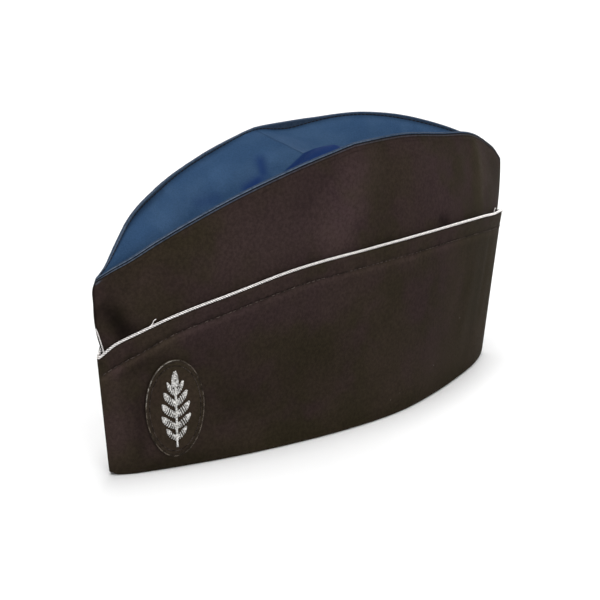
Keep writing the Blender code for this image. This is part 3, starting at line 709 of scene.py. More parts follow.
def makeTopPanel():
    place = finePlaces()
    place = place[np.abs(place) <= topPanel["reach"]]
    seams = {side: topSeam(side, place) for side in (left, right)}
    keel = (seams[left] + seams[right]) / 2
    keel[:, 1] = 0.0
    keel[:, 2] = np.minimum(cap["crownHeight"] * alongCap("keel", place, creased=True), keel[:, 2])
    shares = np.linspace(0, 1, topPanel["rows"] + 1) ** 1.1
    halves, tones, lights = [], [], []
    shareGrid, grid = np.meshgrid(shares, place, indexing="ij")
    rounded = np.sin(math.pi * shareGrid) ** 0.6 * smoothStep((topPanel["reach"] - np.abs(grid)) / 0.10)
    for side in (left, right):
        lift = foldRelief(panelFolds, side, grid, shareGrid, topPanel["span"])
        lift = lift + topPanel["ripple"] * softNoise(grid * 9 + 2, shareGrid * 2.5 + 7 * side, 23)
        rows = np.stack([mix(seams[side], keel, share) for share in shares])
        rows[..., 2] += lift * rounded
        halves.append(rows)
        # Painted shade of the dents, for each half.
        tones.append(foldRelief(panelPaintedShade, side, grid, shareGrid, topPanel["span"]))
        lights.append(foldRelief(panelLights, side, grid, shareGrid, topPanel["span"]))
    # The near half turns away and lies in shade, most of all just ahead of the crest.
    across = smoothStep((shareGrid - 0.02) / 0.05) * smoothStep((0.985 - shareGrid) / 0.03)
    behind = smoothStep((cap["crest"] + topPanel["shadeFade"] - grid) / topPanel["shadeFade"])
    ahead = mix(0.30, 1.0, smoothStep((grid + 0.66) / 0.26))
    tones[0] = tones[0] + topPanel["nearShade"] * across * behind * ahead
    upper = joinHalves(*halves)
    normal = np.cross(np.gradient(upper, axis=0), np.gradient(upper, axis=1))
    normal /= np.linalg.norm(normal, axis=-1)[..., None]
    lower = upper.copy()
    lower[..., 2] -= topPanel["cloth"] / np.clip(np.abs(normal[..., 2]), 0.4, 1.0)
    section = np.concatenate((upper, lower[:, ::-1]), axis=1)
    # A fine line of painted shade across the far half marks the crease, and the panel's underside is painted
    # darker.
    count = upper.shape[1]
    crease = 0.252 * hump(place - cap["crest"], 0.004)[:, None] * (np.arange(count) >= count // 2)
    under = np.zeros(upper.shape[:2])
    shade = np.concatenate((np.clip(joinHalves(*tones), 0, 1), under), axis=1)
    light = np.concatenate((joinHalves(*lights) - crease, under - 0.2), axis=1)
    uv = clothUv(section, travelAlong(keel))
    faces = sleeveFaces(*section.shape[:2])
    marks = {"shade": shade, "light": light}
    buildPiece("topPanel", section, faces, "blueCloth", "crown_top", uv, marks, sharp=35)


makeTopPanel()

turnUp = {
    "cornerRound": 0.0009, "frontCorner": 0.0013, "hemRoll": 0.0011, "edgeRoll": 0.0009,
    "stitchDrop": 0.0078, "stitchDip": 0.0017, "stitchGroove": 0.00036, "welt": 0.00018,
    "ripple": 0.00030, "pucker": 0.00018, "puckerShading": 0.20, "span": (cap["edgeLength"] / 2, 0.085),
    # Rows of the outer face, by distance below the upper edge in mm, then by share to the hem.
    "nearEdge": (0.9, 1.4, 2.2, 3.2, 4.3, 5.4, 6.3, 6.9, 7.3, 7.55, 7.8, 8.05, 8.3, 8.7, 9.3, 10.1,
                 11.1, 12.4, 14.2),
    "lowerRows": 22, "insideRises": (0.985, 0.95, 0.85, 0.7, 0.5, 0.3, 0.15, 0.06),
}
bandFolds = (
    (left, (0.80, 0.95), (0.78, 0.35), 0.0045, -0.0005),
    (left, (0.90, 0.80), (0.90, 0.15), 0.0035, 0.0004),
    (left, (0.66, 0.85), (0.62, 0.30), 0.0060, 0.0004),
    (left, (-0.93, 0.85), (-0.91, 0.20), 0.0045, -0.0003),
    (left, (-0.30, 0.70), (-0.10, 0.40), 0.0160, 0.0005),
    (right, (-0.70, 0.80), (-0.60, 0.30), 0.0090, 0.0005),
    (right, (0.30, 0.75), (0.20, 0.30), 0.0120, -0.0005),
    (right, (0.84, 0.90), (0.82, 0.25), 0.0050, -0.0005),
)

# Painted light and shade on the band's near side, laid out as its folds: lighter at the front and on some
# folds, darker on others, along the middle and towards the hem.
bandPaintedLight = (
    (left, (-0.97, 0.85), (-0.975, 0.10), 0.0040, 0.22),
    (left, (-0.93, 0.78), (-0.80, 0.77), 0.0042, -0.28),
    (left, (-0.60, 0.42), (-0.10, 0.40), 0.0200, -0.16),
    (left, (-0.66, 0.50), (-0.56, 0.25), 0.0130, -0.16),
    (left, (0.10, 0.50), (0.90, 0.50), 0.0300, -0.10),
    (left, (-0.98, 0.02), (-0.55, 0.02), 0.0060, -0.32),
    (left, (-0.45, 0.02), (0.98, 0.02), 0.0060, -0.14),
    (left, (-0.905, 0.10), (-0.895, 0.60), 0.0030, -0.22),
    (left, (0.55, 0.80), (0.50, 0.45), 0.0040, 0.12),
    (left, (0.80, 0.90), (0.78, 0.15), 0.0070, 0.14),
    (left, (0.76, 0.90), (0.74, 0.15), 0.0130, -0.14),
    (left, (-0.76, 0.72), (-0.56, 0.60), 0.0100, -0.13),
)
bandHues = (
    (left, (-0.80, 0.90), (-0.20, 0.80), 0.0130, 0.70),
    (left, (-0.96, 0.80), (-0.97, 0.20), 0.0050, 0.40),
    (left, (-0.50, 0.40), (0.20, 0.40), 0.0200, -0.40),
    (left, (-0.98, 0.02), (0.98, 0.02), 0.0090, -1.30),
    (left, (0.70, 0.85), (0.65, 0.10), 0.0200, -1.50),
    (left, (0.92, 0.90), (0.89, 0.10), 0.0160, -1.70),
)


def roundLoop(loop, width):
    # Rounds the corners of a closed level outline by smoothing it along its length.
    step = 0.0002
    closed = np.concatenate((loop, loop[:1]))
    travel = travelAlong(closed)
    even = np.linspace(0, travel[-1], int(travel[-1] / step), endpoint=False)
    reach = int(width * 4 / step)
    kernel = np.exp(-0.5 * (np.arange(-reach, reach + 1) * step / width) ** 2)
    kernel /= kernel.sum()
    out = loop.copy()
    for axis in (0, 1):
        values = np.interp(even, travel, closed[:, axis])
        padded = np.concatenate((values[-reach:], values, values[:reach]))
        smoothed = np.convolve(padded, kernel, mode="valid")
        out[:, axis] = np.interp(travel[:-1], np.append(even, travel[-1]), np.append(smoothed, smoothed[0]))
    return out


def stitchDip(place):
    # The stitch line runs a little lower towards the front.
    return turnUp["stitchDip"] * smoothStep((-0.76 - place) / 0.18)


def bandRelief(side, place, rise, drop):
    # Soft folds and ripples, with the stitch line's groove, its pucker and the welt above it.
    rise = np.broadcast_to(rise, place.shape)
    lift = foldRelief(bandFolds, side, place, rise, turnUp["span"])
    lift = lift + turnUp["ripple"] * softNoise(place * 6 + 11 * side, rise * 2.2, 41)
    below = drop - turnUp["stitchDrop"]
    groove = turnUp["stitchGroove"] * hump(below, 0.0005)
    welt = turnUp["welt"] * smoothStep(-below / 0.003) * smoothStep(drop / 0.002)
    pucker = turnUp["pucker"] * softNoise(place * 26 + 5 * side, drop * 90, 63) * hump(below, 0.0045)
    lift = lift * smoothStep(rise / 0.12) * smoothStep(drop / 0.006)
    return (lift + welt + pucker - groove) * smoothStep((1 - np.abs(place)) / 0.04)


def bandLoop(place, rise, depth, height=None, drop=None):
    # One row round both sides. A row of the outer face gives its drop, for its relief.
    halves = []
    for side in (left, right):
        relief = 0.0 if drop is None else bandRelief(side, place, rise, drop)
        line = insetLine(side, bandFace(side, place, rise), depth - relief, place)
        if height is not None:
            line[:, 2] = height
        halves.append(line)
    return roundLoop(np.concatenate((halves[0], halves[1][-2:0:-1])), turnUp["cornerRound"])


def bandSection(place):
    # All rows of the band, from the hem up its face, over the edge, down inside and under the crown.
    edge = edgeHeight(place)
    cloth, fold = cap["bandCloth"], cap["foldThickness"]
    under = cloth + cap["gap"] + cap["crownCloth"]
    roll, lowest = turnUp["hemRoll"], turnUp["nearEdge"][-1] / 1000
    loops, drops = [], []
    for turn in np.linspace(0, math.pi / 2, 6):
        height = roll * (1 - math.cos(turn))
        loops.append(bandLoop(place, height / edge, roll * (1 - math.sin(turn)), height))
        drops.append(0.05)
    for share in np.linspace(0, 1, turnUp["lowerRows"] + 1)[1:-1]:
        drops.append(mix(0.07, lowest, share))
        fall = mix(edge - roll, lowest + stitchDip(place), share)
        loops.append(bandLoop(place, 1 - fall / edge, 0.0, drop=drops[-1]))
    for drop in np.array(turnUp["nearEdge"][::-1]) / 1000:
        drops.append(drop)
        fall = drop + stitchDip(place) * smoothStep(drop / turnUp["stitchDrop"])
        loops.append(bandLoop(place, 1 - fall / edge, 0.0, drop=drop))
    for turn in np.linspace(0, math.pi, 9)[1:-1]:
        fall = turnUp["edgeRoll"] * (1 - math.sin(turn))
        loops.append(bandLoop(place, 1 - fall / edge, cloth / 2 * (1 - math.cos(turn))))
    loops += [bandLoop(place, rise, cloth) for rise in turnUp["insideRises"]]
    # The fold under the crown: height, and depth inside the outer face.
    hidden = ((fold, cloth), (fold, under - 0.0003), (fold * 0.6, under), (0.0003, under),
              (0.0, under - 0.0004))
    loops += [bandLoop(place, height / edge, depth, height) for height, depth in hidden]
    return np.stack(loops, axis=1), np.array(drops + [0.0] * (len(loops) - len(drops)))


def makeTurnUp():
    place = finePlaces()
    section, drops = bandSection(place)
    # The hem's front corner is rounded off.
    fromFront = section[..., 0] - section[..., 0].min(axis=0)
    corner = hump(fromFront, 0.0012) * np.clip(1 - section[..., 2] / 0.006, 0, 1)
    section[..., 2] += turnUp["frontCorner"] * corner
    loopPlace = np.concatenate((place, place[-2:0:-1]))[:, None]
    rises = section[..., 2] / edgeHeight(loopPlace)
    placeGrid = np.broadcast_to(loopPlace, rises.shape)
    nearSide, fade = section[..., 1] < 0.0, smoothStep(rises / 0.02)
    below = drops - turnUp["stitchDrop"]
    # A broken shade line along the stitches, weaker towards the back.
    broken = np.clip(1 + 1.1 * softNoise(loopPlace * 55, 0, 65), 0, 2)
    broken = broken * mix(1.0, 0.4, smoothStep((loopPlace - 0.35) / 0.4))
    shade = 0.28 * hump(below + 0.0002, 0.0004) * broken
    # A painted light band below the line and a painted shade band above it, both uneven from painted pucker
    # shading and stronger at the front.
    frontward = smoothStep((-0.45 - loopPlace) / 0.4)
    lit = (0.30 + 0.22 * frontward) * hump(below - 0.0018, 0.0016)
    dim = (0.12 + 0.10 * frontward) * hump(below + 0.0011, 0.0010)
    uneven = turnUp["puckerShading"] * hump(below + 0.001, 0.003) * softNoise(loopPlace * 60, drops * 300, 64)
    light = nearSide * foldRelief(bandPaintedLight, left, placeGrid, rises, turnUp["span"])
    light = light + fade * (lit - dim + uneven)
    hue = nearSide * foldRelief(bandHues, left, placeGrid, rises, turnUp["span"])
    uv = clothUv(section, travelAlong(bandLoop(place, 0.6, 0.0)))
    faces = gridFaces(*section.shape[:2], wrapColumns=True, wrapRows=True, flip=True)
    marks = {"shade": shade * fade, "light": light, "hue": hue}
    buildPiece("turnUp", section, faces, "darkCloth", "turn_up", uv, marks)


makeTurnUp()


def newTree(name, sizes):
    # A geometry tree with a named input for each size, whole numbers as Int.
    tree = bpy.data.node_groups.new(name, "GeometryNodeTree")
    kinds = [("Geometry", "Geometry")]
    kinds += [(label, "Int" if isinstance(value, int) else "Float") for label, value in sizes.items()]
    kinds += [("Finish", "Material")]
    for label, kind in kinds:
        socket = tree.interface.new_socket(label, in_out="INPUT", socket_type="NodeSocket" + kind)
        if label in sizes:
            socket.default_value = sizes[label]
    tree.interface.new_socket("Geometry", in_out="OUTPUT", socket_type="NodeSocketGeometry")
    bench = Bench(tree)
    entry = bench.node("NodeGroupInput", output=None)
    return tree, bench, {label: bench.out(entry, label) for label, _ in kinds}


def finishTree(bench, shape, finish):
    # Every tree ends in plain realized geometry with its material.
    shape = bench.node("GeometryNodeSetShadeSmooth", {"Geometry": shape})
    shape = bench.node("GeometryNodeRealizeInstances", {"Geometry": shape})
    shape = bench.node("GeometryNodeSetMaterial", {"Geometry": shape, "Material": finish})
    bench.node("NodeGroupOutput", {"Geometry": shape}, None)


def pathOf(bench, given, mode, **steps):
    # The piece's edges as curves, cut into even steps.
    path = bench.node("GeometryNodeMeshToCurve", {"Mesh": given["Geometry"]})
    return bench.node("GeometryNodeResampleCurve", {"Curve": path, **steps}, mode=mode)


def capture(bench, shape, value, kind="FLOAT"):
    # Keeps a value on the geometry as it is at this point. Returns both.
    made = bench.node("GeometryNodeCaptureAttribute", output=None)
    made.capture_items.new(kind, "kept")
    bench.plug(made, {"Geometry": shape, 1: value})
    return bench.out(made, 0), bench.out(made, 1)


def spinThread(bench, path, length, sides, radius):
    # Sweeps a round thread along a path. Its UVMap is the length along it and the share round it.
    ring = bench.node("GeometryNodeCurvePrimitiveCircle", {"Resolution": sides, "Radius": radius})
    ring, around = capture(bench, ring, bench.node("GeometryNodeSplineParameter"))
    sweep = {"Curve": path, "Profile Curve": ring, "Fill Caps": True}
    uv = {"Geometry": bench.node("GeometryNodeCurveToMesh", sweep), "Name": "UVMap",
          "Value": bench.node("ShaderNodeCombineXYZ", {"X": length, "Y": around})}
    return bench.node("GeometryNodeStoreNamedAttribute", uv, data_type="FLOAT2", domain="CORNER")


def outwardOf(bench):
    return bench.node("GeometryNodeInputNamedAttribute", {"Name": "outward"}, data_type="FLOAT_VECTOR")


def makeCordTree():
    # Strands wound round a path.
    tree, bench, given = newTree("twistedCord", {
        "Strands": 2, "Lay": 0.0054, "Offset": 0.00045, "Strand Radius": 0.00045, "Point Spacing": 0.0004,
        "Sides": 8})
    path = pathOf(bench, given, "LENGTH", Length=given["Point Spacing"])
    doubled = {"Geometry": path, "Amount": given["Strands"]}
    copies = bench.node("GeometryNodeDuplicateElements", doubled, None, domain="SPLINE")
    length = bench.node("GeometryNodeSplineParameter", None, "Length")
    turns = length / given["Lay"] + bench.out(copies, "Duplicate Index") / given["Strands"]
    angle = turns * (2 * math.pi)
    normal = bench.node("GeometryNodeInputNormal")
    across = bench.vector("CROSS_PRODUCT", bench.node("GeometryNodeInputTangent"), normal)
    aside = bench.vector("ADD", bench.scaled(normal, angle.cosine() * given["Offset"]),
                         bench.scaled(across, angle.sine() * given["Offset"]))
    place = bench.node("GeometryNodeInputPosition")
    strands, axis = capture(bench, bench.out(copies, "Geometry"), place, "VECTOR")
    wound = bench.node("GeometryNodeSetPosition", {"Geometry": strands, "Offset": aside})
    wound, run = capture(bench, wound, length)
    shape = spinThread(bench, wound, run, given["Sides"], given["Strand Radius"])
    # How deep each point lies between the strands: 0 on the outside, 1 on the axis.
    reach = bench.vector("DISTANCE", place, axis, output=1)
    depth = {"Geometry": shape, "Name": "depth",
             "Value": 1 - reach / (given["Offset"] + given["Strand Radius"])}
    shape = bench.node("GeometryNodeStoreNamedAttribute", depth, data_type="FLOAT", domain="POINT")
    finishTree(bench, shape, given["Finish"])
    return tree


def makeStitchTree():
    # Short arched stitches set along a path, or across it, each a little out of line.
    tree, bench, given = newTree("stitchRow", {
        "Spacing": 0.0028, "Length": 0.0021, "Height": 0.0002, "Thread Radius": 0.00016, "Turn": 0.0,
        "Sway": 0.06, "Seed": 1})
    path = pathOf(bench, given, "LENGTH", Length=given["Spacing"])
    along = bench.node("FunctionNodeAlignRotationToVector", {"Vector": outwardOf(bench)}, axis="Z")
    heading = {"Rotation": along, "Vector": bench.node("GeometryNodeInputTangent")}
    along = bench.node("FunctionNodeAlignRotationToVector", heading, axis="X", pivot_axis="Z")

    def chance(low, high, seed):
        return bench.node("FunctionNodeRandomValue", {2: low, 3: high, "Seed": seed}, 1, data_type="FLOAT")

    sway, size = chance(-1.0, 1.0, given["Seed"]), chance(0.88, 1.08, given["Seed"] + 7.0)
    spin = {"Axis": (0, 0, 1), "Angle": sway * given["Sway"] + given["Turn"]}
    turn = {0: along, 1: bench.node("FunctionNodeAxisAngleToRotation", spin)}
    turned = bench.node("FunctionNodeRotateRotation", turn, rotation_space="LOCAL")
    half, sunk = given["Length"] * 0.5, given["Height"] * -0.7
    spots = {"Start": {"X": half * -1.0, "Z": sunk}, "Middle": {"Z": given["Height"] * 2.0},
             "End": {"X": half, "Z": sunk}}
    arch = {name: bench.node("ShaderNodeCombineXYZ", spot) for name, spot in spots.items()}
    arch = bench.node("GeometryNodeCurveQuadraticBezier", {"Resolution": 6, **arch})
    arch, run = capture(bench, arch, bench.node("GeometryNodeSplineParameter", None, "Length"))
    stitch = spinThread(bench, arch, run, 6, given["Thread Radius"])
    row = {"Points": path, "Instance": stitch, "Rotation": turned, "Scale": size}
    finishTree(bench, bench.node("GeometryNodeInstanceOnPoints", row), given["Finish"])
    return tree


def makeSatinTree():
    # Threads that arch from one end of each edge to the other.
    tree, bench, given = newTree("satinThreads", {"Arch": 0.0006, "Thread Radius": 0.00022})
    path = pathOf(bench, given, "COUNT", Count=8)
    parameter = bench.node("GeometryNodeSplineParameter", output=None)
    rounded = 1 - (bench.out(parameter, "Factor") * 2 - 1) ** 4
    path, run = capture(bench, path, bench.out(parameter, "Length"))
    lift = bench.scaled(outwardOf(bench), rounded * given["Arch"])
    arched = bench.node("GeometryNodeSetPosition", {"Geometry": path, "Offset": lift})
    finishTree(bench, spinThread(bench, arched, run, 6, given["Thread Radius"]), given["Finish"])
    return tree


trees = {"cord": makeCordTree(), "stitch": makeStitchTree(), "satin": makeSatinTree()}
print("geometry trees ready:", ", ".join(trees))


def growOnPath(name, treeName, paths, outwards, settings, finish, node=None):
    # Runs one tree on lines of points and keeps the result as a plain mesh.
    points, edges, normals = [], [], []
    for path, outward in zip(paths, outwards):
        start = len(points)
        points.extend(np.asarray(path).tolist())
        normals.extend(np.broadcast_to(outward, np.shape(path)).tolist())
        edges.extend((start + k, start + k + 1) for k in range(len(path) - 1))
    mesh = bpy.data.meshes.new(name)
    mesh.from_pydata(points, edges, [])
    layer = mesh.attributes.new("outward", "FLOAT_VECTOR", "POINT")
    layer.data.foreach_set("vector", np.asarray(normals, dtype=np.float32).ravel())
    thing = addObject(name, mesh)
    modifier = thing.modifiers.new(treeName, "NODES")
    modifier.node_group = trees[treeName]
    values = {**settings, "Finish": finishes[finish]}
    for item in trees[treeName].interface.items_tree:
        if item.in_out == "INPUT" and item.name in values:
            modifier[item.identifier] = values[item.name]
    graph = bpy.context.evaluated_depsgraph_get()
    evaluated = thing.evaluated_get(graph)
    grown = bpy.data.meshes.new_from_object(evaluated, preserve_all_data_layers=True, depsgraph=graph)
    thing.modifiers.remove(modifier)
    thing.data = grown
    bpy.data.meshes.remove(mesh)
    grown.name = name
    settle(thing, node)


piping = {
    "inset": 0.0007, "slip": 0.0003, "tuck": 0.0010, "droop": 0.0012, "wander": 0.00012,
    "slipStart": 0.95, "rightSlip": 0.2, "tuckStart": -0.80, "frontPoints": 61, "backPoints": 70,
    # The overlap: where it starts and is clear of the first round, how far out, and the corners.
    "start": -0.87, "stepsOut": -0.79, "overlapStep": 0.0022, "cornerRadius": 0.0007,
    "cord": {"Strands": 2, "Lay": 0.0026, "Offset": 0.00036, "Strand Radius": 0.00033,
             "Point Spacing": 0.00028, "Sides": 8},
}


def cordLine(side, place):
    # At both end seams the cord slips a little over the band's outer face.
    slip = smoothStep((np.abs(place) - piping["slipStart"]) / (1 - piping["slipStart"]))
    slip = slip * np.where((side == right) & (place < 0), piping["rightSlip"], 1.0)
    tuck = (side == right) * piping["tuck"] * smoothStep((piping["tuckStart"] - place) / 0.10)
    inset = mix(piping["inset"] + tuck, -piping["slip"], slip)
    line = insetLine(side, bandFace(side, place, 1.0), inset, place)
    run = np.gradient(line, axis=0)
    slant = np.linalg.norm(run, axis=1) / np.hypot(run[:, 0], run[:, 1])
    line[:, 2] += piping["inset"] * slant - piping["droop"] * slip
    return line


def roundCorner(before, corner, after, radius):
    one = (before - corner) / np.linalg.norm(before - corner)
    two = (after - corner) / np.linalg.norm(after - corner)
    half = math.acos(float(np.dot(one, two))) / 2
    middle = (one + two) / np.linalg.norm(one + two)
    centre = corner + middle * radius / math.sin(half)
    start, end = corner + one * radius / math.tan(half), corner + two * radius / math.tan(half)
    spokes = [mix(start, end, share) - centre for share in (0.0, 0.25, 0.5, 0.75, 1.0)]
    return [centre + spoke / np.linalg.norm(spoke) * radius for spoke in spokes]


def pipingPath():
    # Once round the band's edge from the right front, then past its own start, a step further out.
    frontPlaces = np.linspace(-1, cap["crest"], piping["frontPoints"])
    place = np.concatenate((frontPlaces, np.linspace(cap["crest"], 1, piping["backPoints"])[1:]))
    leftLine, rightLine = cordLine(left, place), cordLine(right, place)
    start, radius = int(np.searchsorted(place, piping["start"])), piping["cornerRadius"]
    front = roundCorner(rightLine[1], leftLine[0], leftLine[1], radius)
    back = roundCorner(leftLine[-2], (leftLine[-1] + rightLine[-1]) / 2, rightLine[-2], radius)
    beside = smoothStep((piping["stepsOut"] - place) / (piping["stepsOut"] - piping["start"]))
    homeward = mix(rightLine, insetLine(right, rightLine, -piping["overlapStep"]), beside[:, None])
    path = np.array([*rightLine[start:0:-1], *front, *leftLine[1:-1], *back, *homeward[-2:start - 4:-1]])
    path[:, 2] += piping["wander"] * softNoise(travelAlong(path) * 55, 0, 77)
    return path


growOnPath("pipingCord", "cord", [pipingPath()], [(0, 0, 1)], piping["cord"], "silverCord",
           "piping")


def normalsOf(side, place, rise):
    # Directions straight out of the band's outer face.
    placeStep, riseStep = 0.004, 0.01
    run = bandFace(side, place + placeStep, rise) - bandFace(side, place - placeStep, rise)
    climb = bandFace(side, place, rise + riseStep) - bandFace(side, place, rise - riseStep)
    normal = np.cross(run, climb) * -side
    return normal / np.linalg.norm(normal, axis=-1)[..., None]


topStitch = {"Spacing": 0.0030, "Length": 0.0019, "Height": 0.00024, "Thread Radius": 0.00024,
             "Sway": 0.16, "Seed": 3, "reach": 0.985, "points": 260, "sunk": 0.5}


def makeTopStitch():
    # Stitches along the groove below the turn-up's edge, part sunk in it.
    place = np.linspace(-topStitch["reach"], topStitch["reach"], topStitch["points"])
    paths, outwards = [], []
    for side in (left, right):
        rise = 1 - (turnUp["stitchDrop"] + stitchDip(place)) / edgeHeight(place)
        outward = normalsOf(side, place, rise)
        paths.append(bandFace(side, place, rise) - outward * turnUp["stitchGroove"] * topStitch["sunk"])
        outwards.append(outward)
    growOnPath("turnUpStitches", "stitch", paths, outwards, topStitch, "seamThread")


makeTopStitch()

seamStitch = {"Spacing": 0.0026, "Length": 0.0019, "Height": 0.00016, "Thread Radius": 0.00020,
              "Sway": 0.10, "Seed": 8, "endGap": 0.004, "points": 250, "inset": 0.00012, "raised": 0.00035}


def makeSeamStitch():
    # Stitches along both edges of the top panel, just above it.
    reach = topPanel["reach"] - seamStitch["endGap"]
    place = np.linspace(-reach, reach, seamStitch["points"])
    raised = (0, 0, seamStitch["raised"])
    lines = [topSeam(side, place, seamStitch["inset"]) + raised for side in (left, right)]
    outwards = [inwardOf(side, line) for side, line in zip((left, right), lines)]
    growOnPath("topPanelStitches", "stitch", lines, outwards, seamStitch, "darkThread")


makeSeamStitch()

patch = {
    "width": 0.0296, "height": 0.0486, "cloth": 0.0011, "place": -0.790, "level": 0.0304,
    "around": 120, "rings": 16, "dome": 0.00012, "ripple": 0.00007,
    # Rows of the rolled edge and the underside: share of the oval, height over its top or back in mm.
    "edge": ((0.955, -0.05), (0.975, -0.12), (0.99, -0.3), (1.0, -0.6)),
    "back": ((0.995, 0.2), (0.98, 0.0), (0.9, 0.0), (0.5, 0.0)),
    "rimShare": 0.94, "rimDepth": 0.00022, "ringPoints": 240,
    "rimThreads": {"Spacing": 0.00040, "Length": 0.0019, "Height": 0.00026, "Thread Radius": 0.00021,
                   "Turn": math.pi / 2, "Sway": 0.10, "Seed": 12},
    # Ring cords: share of the oval, height over its top in mm, thread, and first and last share of a
    # turn, clockwise from the upper end. The edge ring's upper front stretch is a painted highlight in a
    # lighter copy of its thread.
    "cords": {"patchEdgeLit": (0.98, 0.08, "edgeThreadLit", 0.77, 1.03),
              "patchEdgeRing": (0.98, 0.08, "edgeThread", 0.03, 0.77),
              "patchInnerRing": (0.87, 0.10, "seamThread", 0.0, 1.0)},
    "ringCord": {"Strands": 2, "Lay": 0.0024, "Offset": 0.00014, "Strand Radius": 0.00014,
                 "Point Spacing": 0.00030, "Sides": 6},
}
patchTop = cap["gap"] + patch["cloth"]


def badgePoints(across, up, lift):
    # Points on the band's left side: across and up from the patch's middle, lifted off it.
    places = np.linspace(-1, 0, 401)
    level = patch["level"] / edgeHeight(np.array(patch["place"]))
    travel = travelAlong(bandFace(left, places, float(level)))
    place = np.interp(np.interp(patch["place"], places, travel) + np.asarray(across), travel, places)
    rise = (patch["level"] + np.asarray(up)) / edgeHeight(place)
    normal = normalsOf(left, place, rise)
    return bandFace(left, place, rise) + normal * np.asarray(lift)[..., None], normal


def ellipse(share, count):
    # A closed oval's points, clockwise from its upper end, with the first one again at the end.
    angle = np.linspace(0, 2 * math.pi, count + 1)
    return patch["width"] / 2 * share * np.sin(angle), patch["height"] / 2 * share * np.cos(angle)


def makePatch():
    # Rings from the middle of the face to the middle of the back: share, lift and ripple.
    rings = [(share, patchTop + patch["dome"] * math.cos(math.pi / 2 * share), patch["ripple"])
             for share in np.linspace(0.02, 0.93, patch["rings"])]
    rings += [(share, patchTop + height / 1000, 0.0) for share, height in patch["edge"]]
    rings += [(share, cap["gap"] + height / 1000, 0.0) for share, height in patch["back"]]
    loops, spots = [], []
    for share, lift, ripple in rings:
        across, up = (line[:-1] for line in ellipse(share, patch["around"]))
        lift = lift + ripple * softNoise(across * 700, up * 700, 51)
        loops.append(badgePoints(across, up, lift)[0])
        spots.append(np.stack((across, up), axis=-1))
    section = np.stack(loops, axis=1)
    columns, rows = section.shape[:2]
    middles = badgePoints(np.zeros(2), np.zeros(2), (patchTop + patch["dome"], cap["gap"]))[0]
    points = np.concatenate((section.reshape(-1, 3), middles))
    faces = gridFaces(columns, rows, wrapColumns=True, flip=True)
    for i in range(columns):
        step = (i + 1) % columns
        faces.append((step * rows, i * rows, len(points) - 2))
        faces.append((i * rows + rows - 1, step * rows + rows - 1, len(points) - 1))
    uv = np.concatenate((np.stack(spots, axis=1).reshape(-1, 2), np.zeros((2, 2))))
    buildPiece("badgePatch", points, faces, "patchCloth", "badge_patch", uv)
    count = patch["ringPoints"]
    rim, outward = badgePoints(*ellipse(patch["rimShare"], count), patchTop - patch["rimDepth"])
    growOnPath("patchRim", "stitch", [rim], [outward], patch["rimThreads"], "rimThread")
    for name, (share, height, finish, first, last) in patch["cords"].items():
        kept = np.arange(round(first * count), round(last * count) + 1) % count
        across, up = ellipse(share, count)
        ring, outward = badgePoints(across[kept], up[kept], patchTop + height / 1000)
        growOnPath(name, "cord", [ring], [outward], patch["ringCord"], finish)


makePatch()

emblem = {
    "width": 0.0142, "height": 0.0378, "stem": 0.09, "below": 0.02, "above": 0.055, "lift": 0.00018,
    # Pairs of leaves up the stem: root, tip and reach, as shares of height and half width.
    "leaves": ((0.10, 0.24, 0.70), (0.25, 0.41, 1.00), (0.40, 0.57, 0.95), (0.55, 0.72, 0.80),
               (0.69, 0.85, 0.55)),
    "threadStep": 0.00076, "threads": {"Arch": 0.00055, "Thread Radius": 0.00033},
    # The bud's threads: lowest and highest level, how many, swell and least half width.
    "bud": (0.80, 0.985, 10, 0.20, 0.03), "budLength": 0.30, "budSlant": 0.006, "budLift": 0.0002,
    "stemTop": 0.83, "stemPoints": 80, "stemLift": 0.00075,
    "stemCord": {"Strands": 3, "Lay": 0.0021, "Offset": 0.00030, "Strand Radius": 0.00030,
                 "Point Spacing": 0.00022, "Sides": 7},
}


def emblemAt(shareAcross, shareUp, lift):
    across = np.asarray(shareAcross) * emblem["width"] / 2
    return badgePoints(across, (np.asarray(shareUp) - 0.5) * emblem["height"], patchTop + lift)


def leafThreads(root, tip, reach, mirror):
    # Slanted satin threads from a leaf's lower edge to its upper one.
    climb, stem = tip - root, emblem["stem"]
    t = np.linspace(0, 1, 5)
    underX = np.array((stem * 0.6, *(mix(stem, reach, share) for share in (0.45, 0.85, 0.97)), reach))
    underY = np.array((root - emblem["below"], *(root + climb * share for share in (0.10, 0.45, 0.75)), tip))
    overX = np.array((stem * 0.6, *(mix(stem, reach, share) for share in (0.15, 0.55, 0.82)), reach * 0.99))
    overY = np.array((root + emblem["above"], *(root + climb * share for share in (0.45, 0.80, 0.97)),
                      tip + 0.004))
    length = math.hypot((reach - stem) * emblem["width"] / 2, climb * emblem["height"])
    at = np.linspace(0.02, 0.985, max(int(length / emblem["threadStep"] * 1.1), 5))
    slanted = np.clip(at + 0.07, 0, 1)
    lower = mirror * smoothCurve(t, underX, at), smoothCurve(t, underY, at)
    upper = mirror * smoothCurve(t, overX, slanted), smoothCurve(t, overY, slanted)
    return lower, upper


